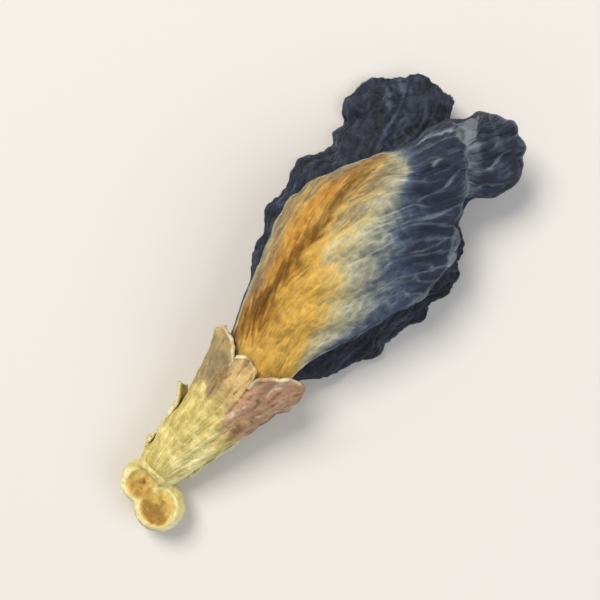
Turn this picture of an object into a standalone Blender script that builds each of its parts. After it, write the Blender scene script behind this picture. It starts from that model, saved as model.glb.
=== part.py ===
"""A dried butterfly pea flower, lying on a flat surface.

The sizes below are millimetres, and MM turns them into Blender's metres.
The flower has its own layout frame: x runs from the knob at the foot of the calyx to the tip of
the large petal, y runs to the left as seen from above, and z is the height over the surface.
ORIGIN_X and ORIGIN_Y say where the part's own origin lies in that layout frame.

From the outside in, the flower is a knobbed receptacle with two bracteoles, a calyx with five
lobes, the large standard petal folded along its length, two wing petals, the keel, the stamens
and the pistil. Every petal is a thin sheet: a net of guide points that a smooth surface passes
through, waved by a formula and given its thickness by a Solidify modifier.
"""

import math
from typing import NamedTuple

import bmesh
import bpy
import numpy as np
from mathutils import Vector, noise

MM = 0.001
ORIGIN_X = 19.482
ORIGIN_Y = 2.26

# Thickness of the dried sheets
PETAL_THICK = 0.64
CALYX_THICK = 0.6
SCALE_THICK = 0.6
SHEATH_THICK = 0.6

STANDARD_GRID = (45, 36)
WING_GRID = (31, 11)
KEEL_GRID = (19, 11)
SHEATH_GRID = (8, 10)
SCALE_GRID = (9, 7)


class Arch(NamedTuple):
    """A bent cross section: part of an ellipse, from one angle to another in degrees.

    Angles are measured round the ellipse as seen from the tip of the flower: 0 left, 90 up.
    """

    x: float
    y: float
    z: float
    half_width: float
    half_height: float
    start: float = 0.0
    end: float = 360.0


class Lobe(NamedTuple):
    """A calyx lobe: where it stands round the calyx, and how it ends."""

    angle: float
    reach: float
    stands_out: float
    blunt: float


class Fold(NamedTuple):
    """One cross section of the standard petal, at a place along the flower.

    The row bows forwards in its middle by bow, and its left end leads its right one by twice lead.
    """

    x: float
    left: float
    midrib: float
    right: float
    top: float
    left_z: float
    right_z: float
    left_tuck: float
    right_tuck: float
    bow: float = 0.0
    lead: float = 0.0
    groove: float = 0.4


class Wing(NamedTuple):
    """One cross section of a wing petal, from its inner edge at the top to its outer edge."""

    x: float
    top_y: float
    top_z: float
    out_y: float
    out_z: float
    bulge: float


# Knob at the foot: two round lobes, each with a shallow rimmed scar that looks up and backwards
KNOB_LOBES = (((2.85, 1.3, 1.75), 1.6), ((2.0, -0.85, 1.65), 1.85))
# The knob's collar, which is squashed to COLLAR_SQUASH of its radius along the flower
KNOB_COLLAR = ((3.65, 1.08, 2.25), 1.65)
COLLAR_SQUASH = 0.6
SCAR_LOOKS = Vector((-0.45, -0.05, 0.89)).normalized()
SCAR_RADIUS = 1.02
SCAR_DEPTH = 0.42
SCAR_RIM = 0.27
KNOB_SEGMENTS = 18
KNOB_RINGS = 11
# The short axis inside the calyx, with its radius at each point
AXIS_POINTS = ((3.4, 1.1, 2.15), (5.5, 1.08, 2.5), (8.0, 0.98, 2.92), (11.0, 0.97, 3.2))
AXIS_RADII = (0.85, 0.8, 0.85, 0.7)

# Calyx cross sections; the lobes are cut from the last three
CALYX_ROWS = (
    Arch(4.7, 1.1, 2.35, 1.45, 1.45),
    Arch(6.6, 1.05, 2.75, 1.55, 1.6),
    Arch(8.6, 0.95, 3.0, 1.9, 1.95),
    Arch(10.6, 0.97, 3.3, 2.4, 2.4),
    Arch(12.6, 1.1, 3.65, 3.0, 2.9),
    Arch(14.6, 1.2, 3.95, 3.6, 3.2),
    Arch(16.6, 1.2, 4.2, 4.0, 3.4),
)
TUBE_END_X = 10.6
CALYX_LOBES = (
    Lobe(22.0, 3.8, 0.5, 0.4),
    Lobe(68.0, 4.0, 0.1, 0.35),
    Lobe(136.0, 5.0, 0.3, 0.55),
    Lobe(214.0, 4.0, 0.35, 0.42),
    Lobe(306.0, 3.9, 0.35, 0.42),
)
TUBE_STEPS = 6
LOBE_STEPS = 7
LOBE_COLUMNS = 8
RIB_COUNT = 10
RIB_HEIGHT = 0.1

# Bracteoles: x, angle round the calyx, half the angle spanned, how far out of the calyx
SCALE_LEFT = (
    (5.0, -56.0, 14.0, 1.0), (6.6, -50.0, 25.0, 1.0), (8.2, -38.0, 26.0, 1.05), (9.4, -20.0, 9.0, 1.15),
)
SCALE_RIGHT = (
    (5.0, 238.0, 14.0, 1.0), (6.6, 235.0, 24.0, 1.0), (8.0, 232.0, 24.0, 1.05), (9.2, 228.0, 9.0, 1.15),
)

STANDARD_CLAW = (
    Arch(10.4, 0.98, 3.2, 1.34, 1.34, -22.0, 202.0),
    Arch(13.4, 1.2, 3.85, 2.4, 2.1, -14.0, 194.0),
)
STANDARD_FOLDS = (
    Fold(17.0, 5.1, 3.2, -1.3, 6.8, 5.0, 4.8, 1.3, 1.2),
    Fold(20.0, 6.1, 4.0, -2.4, 7.4, 5.3, 5.1, 2.6, 2.6),
    Fold(23.2, 7.5, 4.6, -3.2, 7.8, 5.4, 5.2, 3.6, 3.4),
    Fold(26.2, 7.35, 4.9, -3.9, 7.9, 5.4, 5.2, 3.6, 3.6),
    Fold(29.2, 6.2, 4.5, -3.4, 7.6, 5.3, 5.0, 2.6, 3.0, 0.0, 0.0, 0.3),
    Fold(31.8, 4.7, 3.2, -1.9, 7.1, 5.0, 4.7, 1.5, 2.2, 0.0, 0.4, 0.1),
    Fold(34.2, 3.9, 2.2, -1.5, 7.0, 4.6, 4.3, 1.2, 1.4, 0.0, 1.2, 0.0),
    Fold(35.3, 3.3, 1.6, -2.5, 5.8, 4.4, 4.0, 1.1, 1.2, 0.1, 1.0, 0.0),
    Fold(36.5, 2.8, 1.2, -2.9, 5.9, 4.2, 3.8, 1.1, 1.1, 0.8, 0.4, 0.0),
    Fold(37.2, 2.55, 0.9, -2.6, 5.2, 3.9, 3.6, 1.1, 1.1, 1.3, 0.35, 0.0),
)
FOLD_RADIUS = 0.75
CROWN = 0.3

WING_LEFT = (
    Wing(11.6, 2.4, 2.5, 2.0, 1.95, 0.0),
    Wing(14.2, 2.85, 2.75, 3.1, 2.2, 0.0),
    Wing(17.0, 3.1, 3.15, 5.0, 1.9, 0.3),
    Wing(20.0, 3.15, 3.4, 6.9, 1.3, 0.5),
    Wing(23.2, 3.0, 3.8, 8.3, 0.8, 0.7),
    Wing(26.4, 3.2, 3.9, 8.8, 0.4, 0.7),
    Wing(29.2, 3.4, 3.8, 8.3, 0.35, 0.7),
    Wing(31.6, 3.7, 3.3, 9.3, 0.3, 0.6),
    Wing(34.0, 3.2, 2.85, 9.9, 0.5, 0.45),
    Wing(35.8, 3.6, 2.6, 8.2, 0.9, 0.3),
    Wing(37.1, 4.3, 2.4, 6.3, 1.5, 0.15),
)
WING_RIGHT = (
    Wing(11.6, -0.4, 2.5, 0.0, 1.95, 0.0),
    Wing(14.2, -0.55, 2.75, -0.8, 2.2, 0.0),
    Wing(17.0, -0.3, 3.05, -3.0, 1.7, 0.25),
    Wing(20.2, 0.3, 3.3, -4.5, 0.9, 0.45),
    Wing(23.4, 1.0, 3.55, -4.95, 0.45, 0.55),
    Wing(26.8, 1.3, 3.6, -5.1, 0.4, 0.55),
    Wing(29.4, 1.0, 3.5, -4.3, 0.8, 0.45),
    Wing(31.2, 0.2, 3.2, -2.7, 1.6, 0.2),
)

KEEL_ROWS = (
    Arch(12.4, 1.05, 3.2, 0.8, 1.6, 248.0, 292.0),
    Arch(14.0, 1.2, 3.1, 1.35, 1.75, 230.0, 310.0),
    Arch(15.5, 1.4, 3.0, 1.7, 1.65, 213.0, 327.0),
    Arch(19.0, 1.8, 2.55, 1.7, 1.75, 184.0, 356.0),
    Arch(23.0, 2.1, 2.4, 1.75, 1.7, 176.0, 364.0),
    Arch(26.5, 2.4, 2.35, 1.75, 1.65, 172.0, 368.0),
    Arch(29.2, 2.7, 2.5, 1.6, 1.4, 176.0, 364.0),
    Arch(30.4, 2.85, 2.7, 1.2, 1.1, 180.0, 360.0),
)

# The stamens' sheath, open along its top, and the pistil lying in it
SHEATH_ROWS = (
    Arch(11.6, 1.0, 3.3, 0.8, 0.8, 154.0, 386.0),
    Arch(16.0, 1.4, 3.1, 0.85, 0.85, 160.0, 380.0),
    Arch(20.5, 1.9, 2.62, 0.86, 0.86, 162.0, 378.0),
    Arch(25.0, 2.3, 2.45, 0.86, 0.86, 162.0, 378.0),
)
ANTHER_COUNT = 10
# Each filament: how far along its reach, how far from the sheath's middle, and how much higher
FILAMENT_STEPS = (
    (0.0, 0.86, 0.0), (0.4, 0.86, 0.05), (0.75, 0.86, 0.15), (0.95, 0.84, 0.25), (1.3, 0.82, 0.35),
)
FILAMENT_RADII = (0.2, 0.2, 0.2, 0.31, 0.25)
PISTIL_POINTS = (
    (11.6, 1.0, 3.34), (16.0, 1.4, 3.14), (20.5, 1.9, 2.68),
    (25.5, 2.33, 2.55), (28.8, 2.75, 2.75), (31.2, 2.9, 3.3),
)
PISTIL_RADII = (0.24, 0.26, 0.28, 0.28, 0.24, 0.24)


def clear_scene():
    """Empties the scene of whatever it starts with."""
    for obj in list(bpy.data.objects):
        bpy.data.objects.remove(obj, do_unlink=True)


def make_collection(name):
    """A new collection in the scene."""
    collection = bpy.data.collections.new(name)
    bpy.context.scene.collection.children.link(collection)
    return collection


def make_material(name, colour, roughness):
    """A plain finish for the solid: linear colour, roughness and no metal."""
    material = bpy.data.materials.new(name)
    material.use_nodes = True
    shader = material.node_tree.nodes["Principled BSDF"]
    shader.inputs["Base Color"].default_value = (*colour, 1.0)
    shader.inputs["Roughness"].default_value = roughness
    shader.inputs["Metallic"].default_value = 0.0
    return material


def placed(point):
    """A point of the layout frame, in millimetres, as a place in the part's own frame, in metres."""
    x, y, z = point
    return Vector(((x - ORIGIN_X) * MM, (y - ORIGIN_Y) * MM, z * MM))


def blend_weights(knots, samples):
    """Rows of Catmull-Rom weights that carry guide points to evenly spread samples."""
    weights = np.zeros((samples, knots))
    for row, place in enumerate(np.linspace(0.0, knots - 1.0, samples)):
        start = min(int(place), knots - 2)
        t = place - start
        parts = (
            0.5 * (-t + 2 * t**2 - t**3),
            0.5 * (2 - 5 * t**2 + 3 * t**3),
            0.5 * (t + 4 * t**2 - 3 * t**3),
            0.5 * (-(t**2) + t**3),
        )
        for offset, part in zip((-1, 0, 1, 2), parts):
            knot = start + offset
            if knot < 0:
                weights[row, 0] += 2 * part
                weights[row, 1] -= part
            elif knot >= knots:
                weights[row, knots - 1] += 2 * part
                weights[row, knots - 2] -= part
            else:
                weights[row, knot] += part
    return weights


def surface_through(net, rows, columns):
    """Points of the smooth surface through a net of guide points, as rows by columns by 3."""
    net = np.array(net, float)
    along = blend_weights(net.shape[0], rows)
    across = blend_weights(net.shape[1], columns)
    return np.einsum("ir,rck,jc->ijk", along, net, across)


def surface_normals(points):
    """Unit normals of a grid of points, from its differences along and across."""
    along = np.gradient(points, axis=0)
    across = np.gradient(points, axis=1)
    normals = np.cross(along, across)
    return normals / np.maximum(np.linalg.norm(normals, axis=2, keepdims=True), 1e-9)


def arc_lengths(points, axis):
    """Distance travelled over the surface along one direction of its grid."""
    steps = np.linalg.norm(np.diff(points, axis=axis), axis=2)
    start = np.zeros_like(np.take(steps, [0], axis=axis))
    return np.concatenate([start, np.cumsum(steps, axis=axis)], axis=axis)


def smooth_step(low, high, value):
    """0 below low, 1 above high, and a smooth rise between them."""
    t = np.clip((value - low) / (high - low), 0.0, 1.0)
    return t * t * (3 - 2 * t)


def noise_over(points, scale, seed):
    """Soft noise from -1 to 1 at each point of a grid, with features about scale millimetres wide."""
    shift = Vector((seed * 17.3, seed * 5.1, seed * 9.7))
    flat = [noise.noise(Vector(p) / scale + shift) for p in points.reshape(-1, 3)]
    return np.array(flat).reshape(points.shape[:2])


def vein_waves(points, midrib, slant, pitch, seed):
    """Waves from -1 to 1 whose crests follow the veins, which leave the midrib at a slant."""
    along = arc_lengths(points, 0)
    across = arc_lengths(points, 1)
    offset = np.abs(across - across[:, [midrib]])
    phase = (along - slant * offset) / pitch + 0.25 * noise_over(points, 4.0, seed)
    return np.sin(2 * math.pi * phase)


def grid_mesh(name, points):
    """An open mesh of triangles over a grid of layout points, from a grid primitive."""
    rows, columns, _ = points.shape
    shape = bmesh.new()
    bmesh.ops.create_grid(shape, x_segments=columns - 1, y_segments=rows - 1, size=1.0)
    for vert in shape.verts:
        column = round((vert.co.x + 1.0) / 2.0 * (columns - 1))
        row = round((vert.co.y + 1.0) / 2.0 * (rows - 1))
        vert.co = placed(points[row, column])
    bmesh.ops.triangulate(shape, faces=shape.faces[:])
    mesh = bpy.data.meshes.new(name)
    shape.to_mesh(mesh)
    shape.free()
    return mesh


def sheet_object(name, mesh, thickness, material, collection):
    """An object for a sheet: the open mesh with its thickness laid evenly on both sides."""
    obj = bpy.data.objects.new(name, mesh)
    collection.objects.link(obj)
    mesh.materials.append(material)
    shell = obj.modifiers.new("thickness", "SOLIDIFY")
    shell.thickness = thickness * MM
    shell.offset = 0.0
    shell.use_even_offset = False
    obj.data.shade_smooth()
    return obj


def baked(obj):
    """The object's mesh with its modifiers applied, in place of the one that it had."""
    bpy.context.view_layer.update()
    graph = bpy.context.evaluated_depsgraph_get()
    made = bpy.data.meshes.new_from_object(obj.evaluated_get(graph))
    obj.modifiers.clear()
    obj.data = made
    return obj


def press_flat(obj):
    """Presses what dips below the surface flat on to it, so the piece rests on small flat spots."""
    baked(obj)
    for vert in obj.data.vertices:
        vert.co.z = max(vert.co.z, 0.0)
    return obj


def tucked(edge, height, tuck, inwards):
    """The tucked margin's three guide points from its fold to its end, and the fold itself.

    A long tuck turns right under; a short one is only bent down and in.
    """
    low = height - FOLD_RADIUS
    short = min(max((2.6 - tuck) / 1.6, 0.0), 1.0)
    turn = (1.0 - short) * min(0.8 * FOLD_RADIUS, 0.28 * tuck) + short * 0.12 * tuck
    return (
        (edge, height),
        (edge + inwards * turn, low + 0.3 * short),
        (edge + inwards * 0.55 * tuck, low + 0.06 * short),
        (edge + inwards * tuck, low + 0.25 * (1.0 - short)),
    )


def fold_row(fold):
    """The guide points of one folded cross section, from the left margin to the right one."""
    left_span = fold.left - fold.midrib
    right_span = fold.midrib - fold.right
    left_margin = tucked(fold.left, fold.left_z, fold.left_tuck, -1.0)
    right_margin = tucked(fold.right, fold.right_z, fold.right_tuck, 1.0)
    section = (
        *reversed(left_margin),
        (fold.left - 0.18 * left_span, fold.left_z + 0.4 * (fold.top - fold.left_z)),
        (fold.midrib + 0.4 * left_span, fold.top - 0.3),
        (fold.midrib, fold.top - fold.groove),
        (fold.midrib - 0.17 * right_span, fold.top + CROWN),
        (fold.midrib - 0.42 * right_span, fold.top + 0.1),
        (fold.midrib - 0.68 * right_span, fold.top - 0.3 * (fold.top - fold.right_z)),
        (fold.midrib - 0.9 * right_span, fold.right_z + 0.95 * FOLD_RADIUS),
        *right_margin,
    )
    centre = 0.5 * (fold.left + fold.right)
    half = 0.5 * (fold.left - fold.right)
    row = []
    for column, (y, z) in enumerate(section):
        folded_under = column < 3 or column > len(section) - 4
        side = math.copysign(1.0, len(section) / 2 - column) if folded_under else (y - centre) / half
        row.append((fold.x + fold.bow * (1.0 - side**2) + fold.lead * side, y, z))
    return row


def arch_row(arch, count):
    """Guide points spread evenly over an arch."""
    row = []
    for angle in np.radians(np.linspace(arch.start, arch.end, count)):
        y = arch.y + arch.half_width * math.cos(angle)
        z = arch.z + arch.half_height * math.sin(angle)
        row.append((arch.x, y, z))
    return row


def standard_surface():
    """The standard's middle surface: an arched claw, the folded blade and a curled tip."""
    folds = [fold_row(fold) for fold in STANDARD_FOLDS]
    columns = len(folds[0])
    net = [arch_row(arch, columns) for arch in STANDARD_CLAW] + folds
    points = surface_through(net, *STANDARD_GRID)
    midrib = round(6 / (columns - 1) * (STANDARD_GRID[1] - 1))
    place = np.linspace(0.0, columns - 1.0, STANDARD_GRID[1])[None, :]
    upper = smooth_step(5.2, 7.2, place) * (1.0 - smooth_step(8.8, 10.6, place))
    height = 0.22 * upper * smooth_step(15.0, 21.0, points[..., 0])
    pleats = height * vein_waves(points, midrib, 0.9, 3.4, 1)
    ruffle = 0.2 * (0.2 + 0.8 * upper) * noise_over(points, 2.8, 2)
    ruffle *= smooth_step(16.0, 24.0, points[..., 0])
    return points + surface_normals(points) * (pleats + ruffle)[..., None]


def wing_row(station, side):
    """Guide points of a wing from its inner top edge out and down to its free edge."""
    row = []
    for share in (0.0, 0.25, 0.5, 0.75, 1.0):
        lift = station.bulge * math.sin(math.pi * share)
        y = station.top_y + share * (station.out_y - station.top_y) + side * 0.5 * lift
        z = station.top_z + share * (station.out_z - station.top_z) + lift
        row.append((station.x, y, z))
    return row


def wing_surface(stations, side, seed):
    """A wing's middle surface, with waves that grow towards its free edge."""
    points = surface_through([wing_row(station, side) for station in stations], *WING_GRID)
    rows, columns = WING_GRID
    u = np.linspace(0.0, 1.0, rows)[:, None]
    v = np.linspace(0.0, 1.0, columns)[None, :]
    height = smooth_step(0.15, 0.5, u) * (0.08 + 0.3 * smooth_step(0.4, 1.0, v))
    crinkle = height * np.sin(2 * math.pi * (points[..., 0] / 3.6 + 0.5 * noise_over(points, 3.0, seed)))
    return points + surface_normals(points) * crinkle[..., None]


def calyx_section(x):
    """Centre and half sizes of the calyx at a place along the flower."""
    table = np.array([row[:5] for row in CALYX_ROWS])
    return [float(np.interp(x, table[:, 0], table[:, i])) for i in range(1, 5)]


def calyx_point(x, angle, out):
    """A point at an angle round the calyx, and a distance outside its middle surface."""
    y, z, half_width, half_height = calyx_section(x)
    turn = math.radians(angle)
    rib = RIB_HEIGHT * (1.0 + math.cos(RIB_COUNT * turn)) * float(smooth_step(4.7, 7.0, x))
    reach = out + rib
    return (x, y + (half_width + reach) * math.cos(turn), z + (half_height + reach) * math.sin(turn))


def lobe_bounds():
    """Angles where neighbouring lobes meet, each halfway between two lobes, counted upwards."""
    angles = [lobe.angle for lobe in CALYX_LOBES]
    following = angles[1:] + [angles[0] + 360.0]
    return [0.5 * (a + b) for a, b in zip(angles, following)]


def calyx_mesh(name):
    """The calyx's middle surface: a tube ring by ring, then each lobe on from its last ring."""
    bounds = lobe_bounds()
    shape = bmesh.new()
    ring_angles = []
    for index, end in enumerate(bounds):
        start = bounds[index - 1] - (360.0 if index == 0 else 0.0)
        ring_angles += list(np.linspace(start, end, LOBE_COLUMNS, endpoint=False))
    rings = []
    for x in np.linspace(CALYX_ROWS[0].x, TUBE_END_X, TUBE_STEPS + 1):
        rings.append([shape.verts.new(placed(calyx_point(x, angle, 0.0))) for angle in ring_angles])
    count = len(ring_angles)
    for low, high in zip(rings, rings[1:]):
        for i in range(count):
            shape.faces.new((low[i], low[(i + 1) % count], high[(i + 1) % count], high[i]))
    for index, lobe in enumerate(CALYX_LOBES):
        start = bounds[index - 1] - (360.0 if index == 0 else 0.0)
        span = bounds[index] - start
        below = [rings[-1][(index * LOBE_COLUMNS + i) % count] for i in range(LOBE_COLUMNS + 1)]
        for step in range(1, LOBE_STEPS + 1):
            t = step / LOBE_STEPS
            width = lobe.blunt + (1.0 - lobe.blunt) * (1.0 - t**3)
            width *= 0.92 - 0.02 * t
            middle = start + span * (0.5 + (lobe.angle - start - 0.5 * span) / span * t)
            row = []
            for i in range(LOBE_COLUMNS + 1):
                across = 2.0 * i / LOBE_COLUMNS - 1.0
                angle = middle + 0.5 * span * width * across
                rounding = 0.5 * (1.0 - lobe.blunt) * t * across**2
                out = lobe.stands_out * t**2 + 0.12 * across**2 * t
                point = calyx_point(TUBE_END_X + lobe.reach * t - rounding, angle, out)
                row.append(shape.verts.new(placed(point)))
            for i in range(LOBE_COLUMNS):
                shape.faces.new((below[i], below[i + 1], row[i + 1], row[i]))
            below = row
    bmesh.ops.triangulate(shape, faces=shape.faces[:])
    bmesh.ops.recalc_face_normals(shape, faces=shape.faces[:])
    mesh = bpy.data.meshes.new(name)
    shape.to_mesh(mesh)
    shape.free()
    return mesh


def rods(name, rows, smoothness, collection):
    """Closed round rods through rows of points with a radius at each, as one mesh object."""
    curve = bpy.data.curves.new(name, "CURVE")
    curve.dimensions = "3D"
    curve.bevel_depth = MM
    curve.bevel_resolution = 1
    curve.use_fill_caps = True
    curve.resolution_u = smoothness
    curve.render_resolution_u = smoothness
    for points, radii in rows:
        spline = curve.splines.new("NURBS")
        spline.points.add(len(points) - 1)
        for knot, point, radius in zip(spline.points, points, radii):
            knot.co = (*placed(point), 1.0)
            knot.radius = radius
        spline.order_u = 3
        spline.use_endpoint_u = True
    rod = bpy.data.objects.new(name, curve)
    collection.objects.link(rod)
    bpy.context.view_layer.update()
    mesh = bpy.data.meshes.new_from_object(rod.evaluated_get(bpy.context.evaluated_depsgraph_get()))
    place = rod.matrix_world.copy()
    bpy.data.objects.remove(rod, do_unlink=True)
    shape = bmesh.new()
    shape.from_mesh(mesh)
    bmesh.ops.remove_doubles(shape, verts=shape.verts[:], dist=0.00001)
    bmesh.ops.recalc_face_normals(shape, faces=shape.faces[:])
    shape.to_mesh(mesh)
    shape.free()
    obj = bpy.data.objects.new(name, mesh)
    obj.matrix_world = place
    collection.objects.link(obj)
    return obj


def ball(name, centre, radius, collection):
    """A round ball at a point of the layout frame."""
    shape = bmesh.new()
    bmesh.ops.create_uvsphere(shape, u_segments=KNOB_SEGMENTS, v_segments=KNOB_RINGS, radius=radius * MM)
    mesh = bpy.data.meshes.new(name)
    shape.to_mesh(mesh)
    shape.free()
    obj = bpy.data.objects.new(name, mesh)
    obj.location = placed(centre)
    collection.objects.link(obj)
    return obj


def moved_to(obj, name, collection):
    """Names a freshly added object and moves it to a collection."""
    obj.name = name
    for home in list(obj.users_collection):
        home.objects.unlink(obj)
    collection.objects.link(obj)
    return obj


def combine(obj, other, operation, overlapping=False):
    """Adds an exact Boolean modifier to obj that unites it with, or cuts it by, another."""
    step = obj.modifiers.new(operation.lower(), "BOOLEAN")
    step.operation = operation
    step.solver = "EXACT"
    step.use_self = overlapping
    step.object = other


def make_standard(collection):
    """The large petal that folds over everything else."""
    material = make_material("standard_petal", (0.10, 0.12, 0.26), 0.85)
    mesh = grid_mesh("standard_petal", standard_surface())
    return sheet_object("standard_petal", mesh, PETAL_THICK, material, collection)


def make_wings(collection):
    """The two wing petals, whose lower edges the flower rests on."""
    for name, stations, side, seed in (("wing_left", WING_LEFT, 1, 3), ("wing_right", WING_RIGHT, -1, 4)):
        material = make_material(name, (0.02, 0.03, 0.08), 0.85)
        mesh = grid_mesh(name, wing_surface(stations, side, seed))
        press_flat(sheet_object(name, mesh, PETAL_THICK, material, collection))


def make_keel(collection):
    """The boat-shaped keel that holds the stamens."""
    material = make_material("keel", (0.55, 0.5, 0.36), 0.8)
    net = [arch_row(arch, 7) for arch in KEEL_ROWS]
    points = surface_through(net, *KEEL_GRID)
    press_flat(sheet_object("keel", grid_mesh("keel", points), PETAL_THICK, material, collection))


def make_calyx(collection):
    """The calyx tube with its five lobes, in one sheet."""
    material = make_material("calyx", (0.5, 0.45, 0.25), 0.8)
    sheet_object("calyx", calyx_mesh("calyx"), CALYX_THICK, material, collection)


def make_bracteoles(collection):
    """The two scales, each a small sheet that follows the calyx from outside."""
    for name, stations in (("bracteole_left", SCALE_LEFT), ("bracteole_right", SCALE_RIGHT)):
        net = []
        for x, angle, half, out in stations:
            net.append([calyx_point(x, angle + half * share, out) for share in (-1.0, -0.5, 0.0, 0.5, 1.0)])
        mesh = grid_mesh(name, surface_through(net, *SCALE_GRID))
        material = make_material(name, (0.42, 0.36, 0.2), 0.85)
        press_flat(sheet_object(name, mesh, SCALE_THICK, material, collection))


def make_receptacle(collection, cutters):
    """The knob with its two rimmed scars and its flat foot, and the axis inside the calyx."""
    name = "receptacle"
    knob = ball(name, *KNOB_LOBES[0], collection)
    combine(knob, ball("knob_lobe", *KNOB_LOBES[1], cutters), "UNION")
    collar = ball("knob_collar", *KNOB_COLLAR, cutters)
    collar.scale.x = COLLAR_SQUASH
    combine(knob, collar, "UNION")
    combine(knob, rods("axis", [(AXIS_POINTS, AXIS_RADII)], 2, cutters), "UNION")
    turn = SCAR_LOOKS.to_track_quat("Z", "Y").to_euler()
    for centre, radius in KNOB_LOBES:
        plane = math.sqrt(radius**2 - SCAR_RADIUS**2)
        bpy.ops.mesh.primitive_torus_add(
            major_radius=SCAR_RADIUS * MM,
            minor_radius=SCAR_RIM * MM,
            major_segments=KNOB_SEGMENTS,
            minor_segments=6,
            location=placed(Vector(centre) + SCAR_LOOKS * plane),
            rotation=turn,
        )
        combine(knob, moved_to(bpy.context.object, "scar_rim", cutters), "UNION")
    for centre, radius in KNOB_LOBES:
        plane = math.sqrt(radius**2 - SCAR_RADIUS**2)
        dish = ball("scar", Vector(centre) + SCAR_LOOKS * plane, SCAR_RADIUS, cutters)
        dish.scale.z = SCAR_DEPTH / SCAR_RADIUS
        dish.rotation_euler = turn
        combine(knob, dish, "DIFFERENCE")
    bpy.ops.mesh.primitive_cube_add(size=20 * MM, location=placed((4.0, 0.0, -10.0)))
    combine(knob, moved_to(bpy.context.object, "ground", cutters), "DIFFERENCE")
    baked(knob)
    knob.data.materials.clear()
    knob.data.materials.append(make_material(name, (0.45, 0.36, 0.2), 0.75))
    knob.data.shade_smooth()


def make_stamens(collection, cutters):
    """The open sheath of joined filaments, and the free ends with their anthers."""
    material = make_material("stamens", (0.62, 0.55, 0.35), 0.8)
    net = [arch_row(arch, 7) for arch in SHEATH_ROWS]
    mesh = grid_mesh("stamens", surface_through(net, *SHEATH_GRID))
    sheath = sheet_object("stamens", mesh, SHEATH_THICK, material, collection)
    last = SHEATH_ROWS[-1]
    rows = []
    for index, angle in enumerate(np.radians(np.linspace(last.start + 12, last.end - 12, ANTHER_COUNT))):
        reach = 2.3 + 0.45 * ((index * 3) % 4)
        points = []
        for step, bend, lift in FILAMENT_STEPS:
            x = last.x - 0.5 + step * reach
            y = last.y + bend * math.cos(angle) + 0.12 * step * reach
            points.append((x, y, last.z + bend * math.sin(angle) + lift))
        rows.append((points, FILAMENT_RADII))
    combine(sheath, rods("filaments", rows, 1, cutters), "UNION", overlapping=True)
    baked(sheath)


def make_pistil(collection):
    """The slim ovary with its curved style."""
    pistil = rods("pistil", [(PISTIL_POINTS, PISTIL_RADII)], 3, collection)
    pistil.data.materials.clear()
    pistil.data.materials.append(make_material("pistil", (0.5, 0.5, 0.25), 0.75))
    pistil.data.shade_smooth()


def main():
    clear_scene()
    flower = make_collection("butterfly_pea_flower")
    cutters = make_collection("cutters")
    make_receptacle(flower, cutters)
    make_bracteoles(flower)
    make_calyx(flower)
    make_standard(flower)
    make_wings(flower)
    make_keel(flower)
    make_stamens(flower, cutters)
    make_pistil(flower)
    for obj in list(cutters.objects):
        obj.hide_render = True
        obj.display_type = "WIRE"


main()
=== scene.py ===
"""The looks of one dried butterfly pea flower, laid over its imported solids.

Every piece of the flower is made here again as a thin sheet or a soft body, through guide points
close to its solid's, with the folds, crinkles and raised veins that a dried petal has. The numbers
are millimetres in the flower's own layout frame: x runs from the knob at the foot of the calyx to
the tip of the large petal, y to the left as seen from above, and z up from the surface.
"""

import logging
import math
from dataclasses import dataclass, field
from enum import Enum
from typing import Any, NamedTuple, Sequence

import bpy
import numpy as np
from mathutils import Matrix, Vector, noise


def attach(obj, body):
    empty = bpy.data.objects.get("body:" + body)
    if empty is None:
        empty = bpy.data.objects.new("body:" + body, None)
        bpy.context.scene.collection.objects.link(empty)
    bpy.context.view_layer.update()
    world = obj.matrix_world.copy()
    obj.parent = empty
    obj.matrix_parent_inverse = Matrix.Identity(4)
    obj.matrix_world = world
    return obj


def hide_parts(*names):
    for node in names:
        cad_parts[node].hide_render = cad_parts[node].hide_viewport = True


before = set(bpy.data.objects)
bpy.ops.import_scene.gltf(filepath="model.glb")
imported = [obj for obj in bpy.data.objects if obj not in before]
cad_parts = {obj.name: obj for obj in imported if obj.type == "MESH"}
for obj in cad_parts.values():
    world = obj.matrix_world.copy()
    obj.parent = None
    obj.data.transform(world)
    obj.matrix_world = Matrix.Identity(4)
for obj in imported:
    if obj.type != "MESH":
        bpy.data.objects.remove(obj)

# A millimetre in metres, the layout point at the part's origin, and the body that carries it all
MM = 0.001
ORIGIN = np.array((19.482, 2.26, 0.0))
BODY = "root"

Point = tuple[float, float, float]
PlanPoint = tuple[float, float]
PointsAndQuads = tuple[np.ndarray, np.ndarray]

log = logging.getLogger("flower")


class Mark(Enum):
    """What a piece's mesh tells its finish: SHEET is a place, the rest run from about 0 to 1."""

    SHEET = "sheet"
    # Painted shade and painted highlights: low in a piece's hollows, high on its crests
    PAINTED_RELIEF_SHADE = "painted_relief_shade"
    FADE = "fade"
    LINES = "lines"
    EDGE = "edge"
    WARM = "warm"
    GROOVE = "groove"
    ASH = "ash"
    BLUSH = "blush"


class Side(Enum):
    """The two sides of the flower as seen from above, as the sign of y."""

    LEFT = 1
    RIGHT = -1


class Arch(NamedTuple):
    """A cross section that is part of an ellipse: 0 degrees is left, 90 is up."""

    x: float
    y: float
    z: float
    half_width: float
    half_height: float
    start: float = 0.0
    end: float = 360.0


class Fold(NamedTuple):
    """One cross section of the folded standard petal.

    It gives the y of the left fold, the midrib and the right fold, the heights of the crown and of
    both folds, how far each margin tucks back under, how far the section bows and leans along x,
    and how deep the midrib's groove is.
    """

    x: float
    left: float
    midrib: float
    right: float
    top: float
    left_z: float
    right_z: float
    left_tuck: float
    right_tuck: float
    bow: float = 0.0
    lead: float = 0.0
    groove: float = 0.4


class Station(NamedTuple):
    """One cross section of a wing petal.

    It gives where the inner top edge and the free edge lie and how far it bulges between them.
    """

    x: float
    top_y: float
    top_z: float
    out_y: float
    out_z: float
    bulge: float


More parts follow.
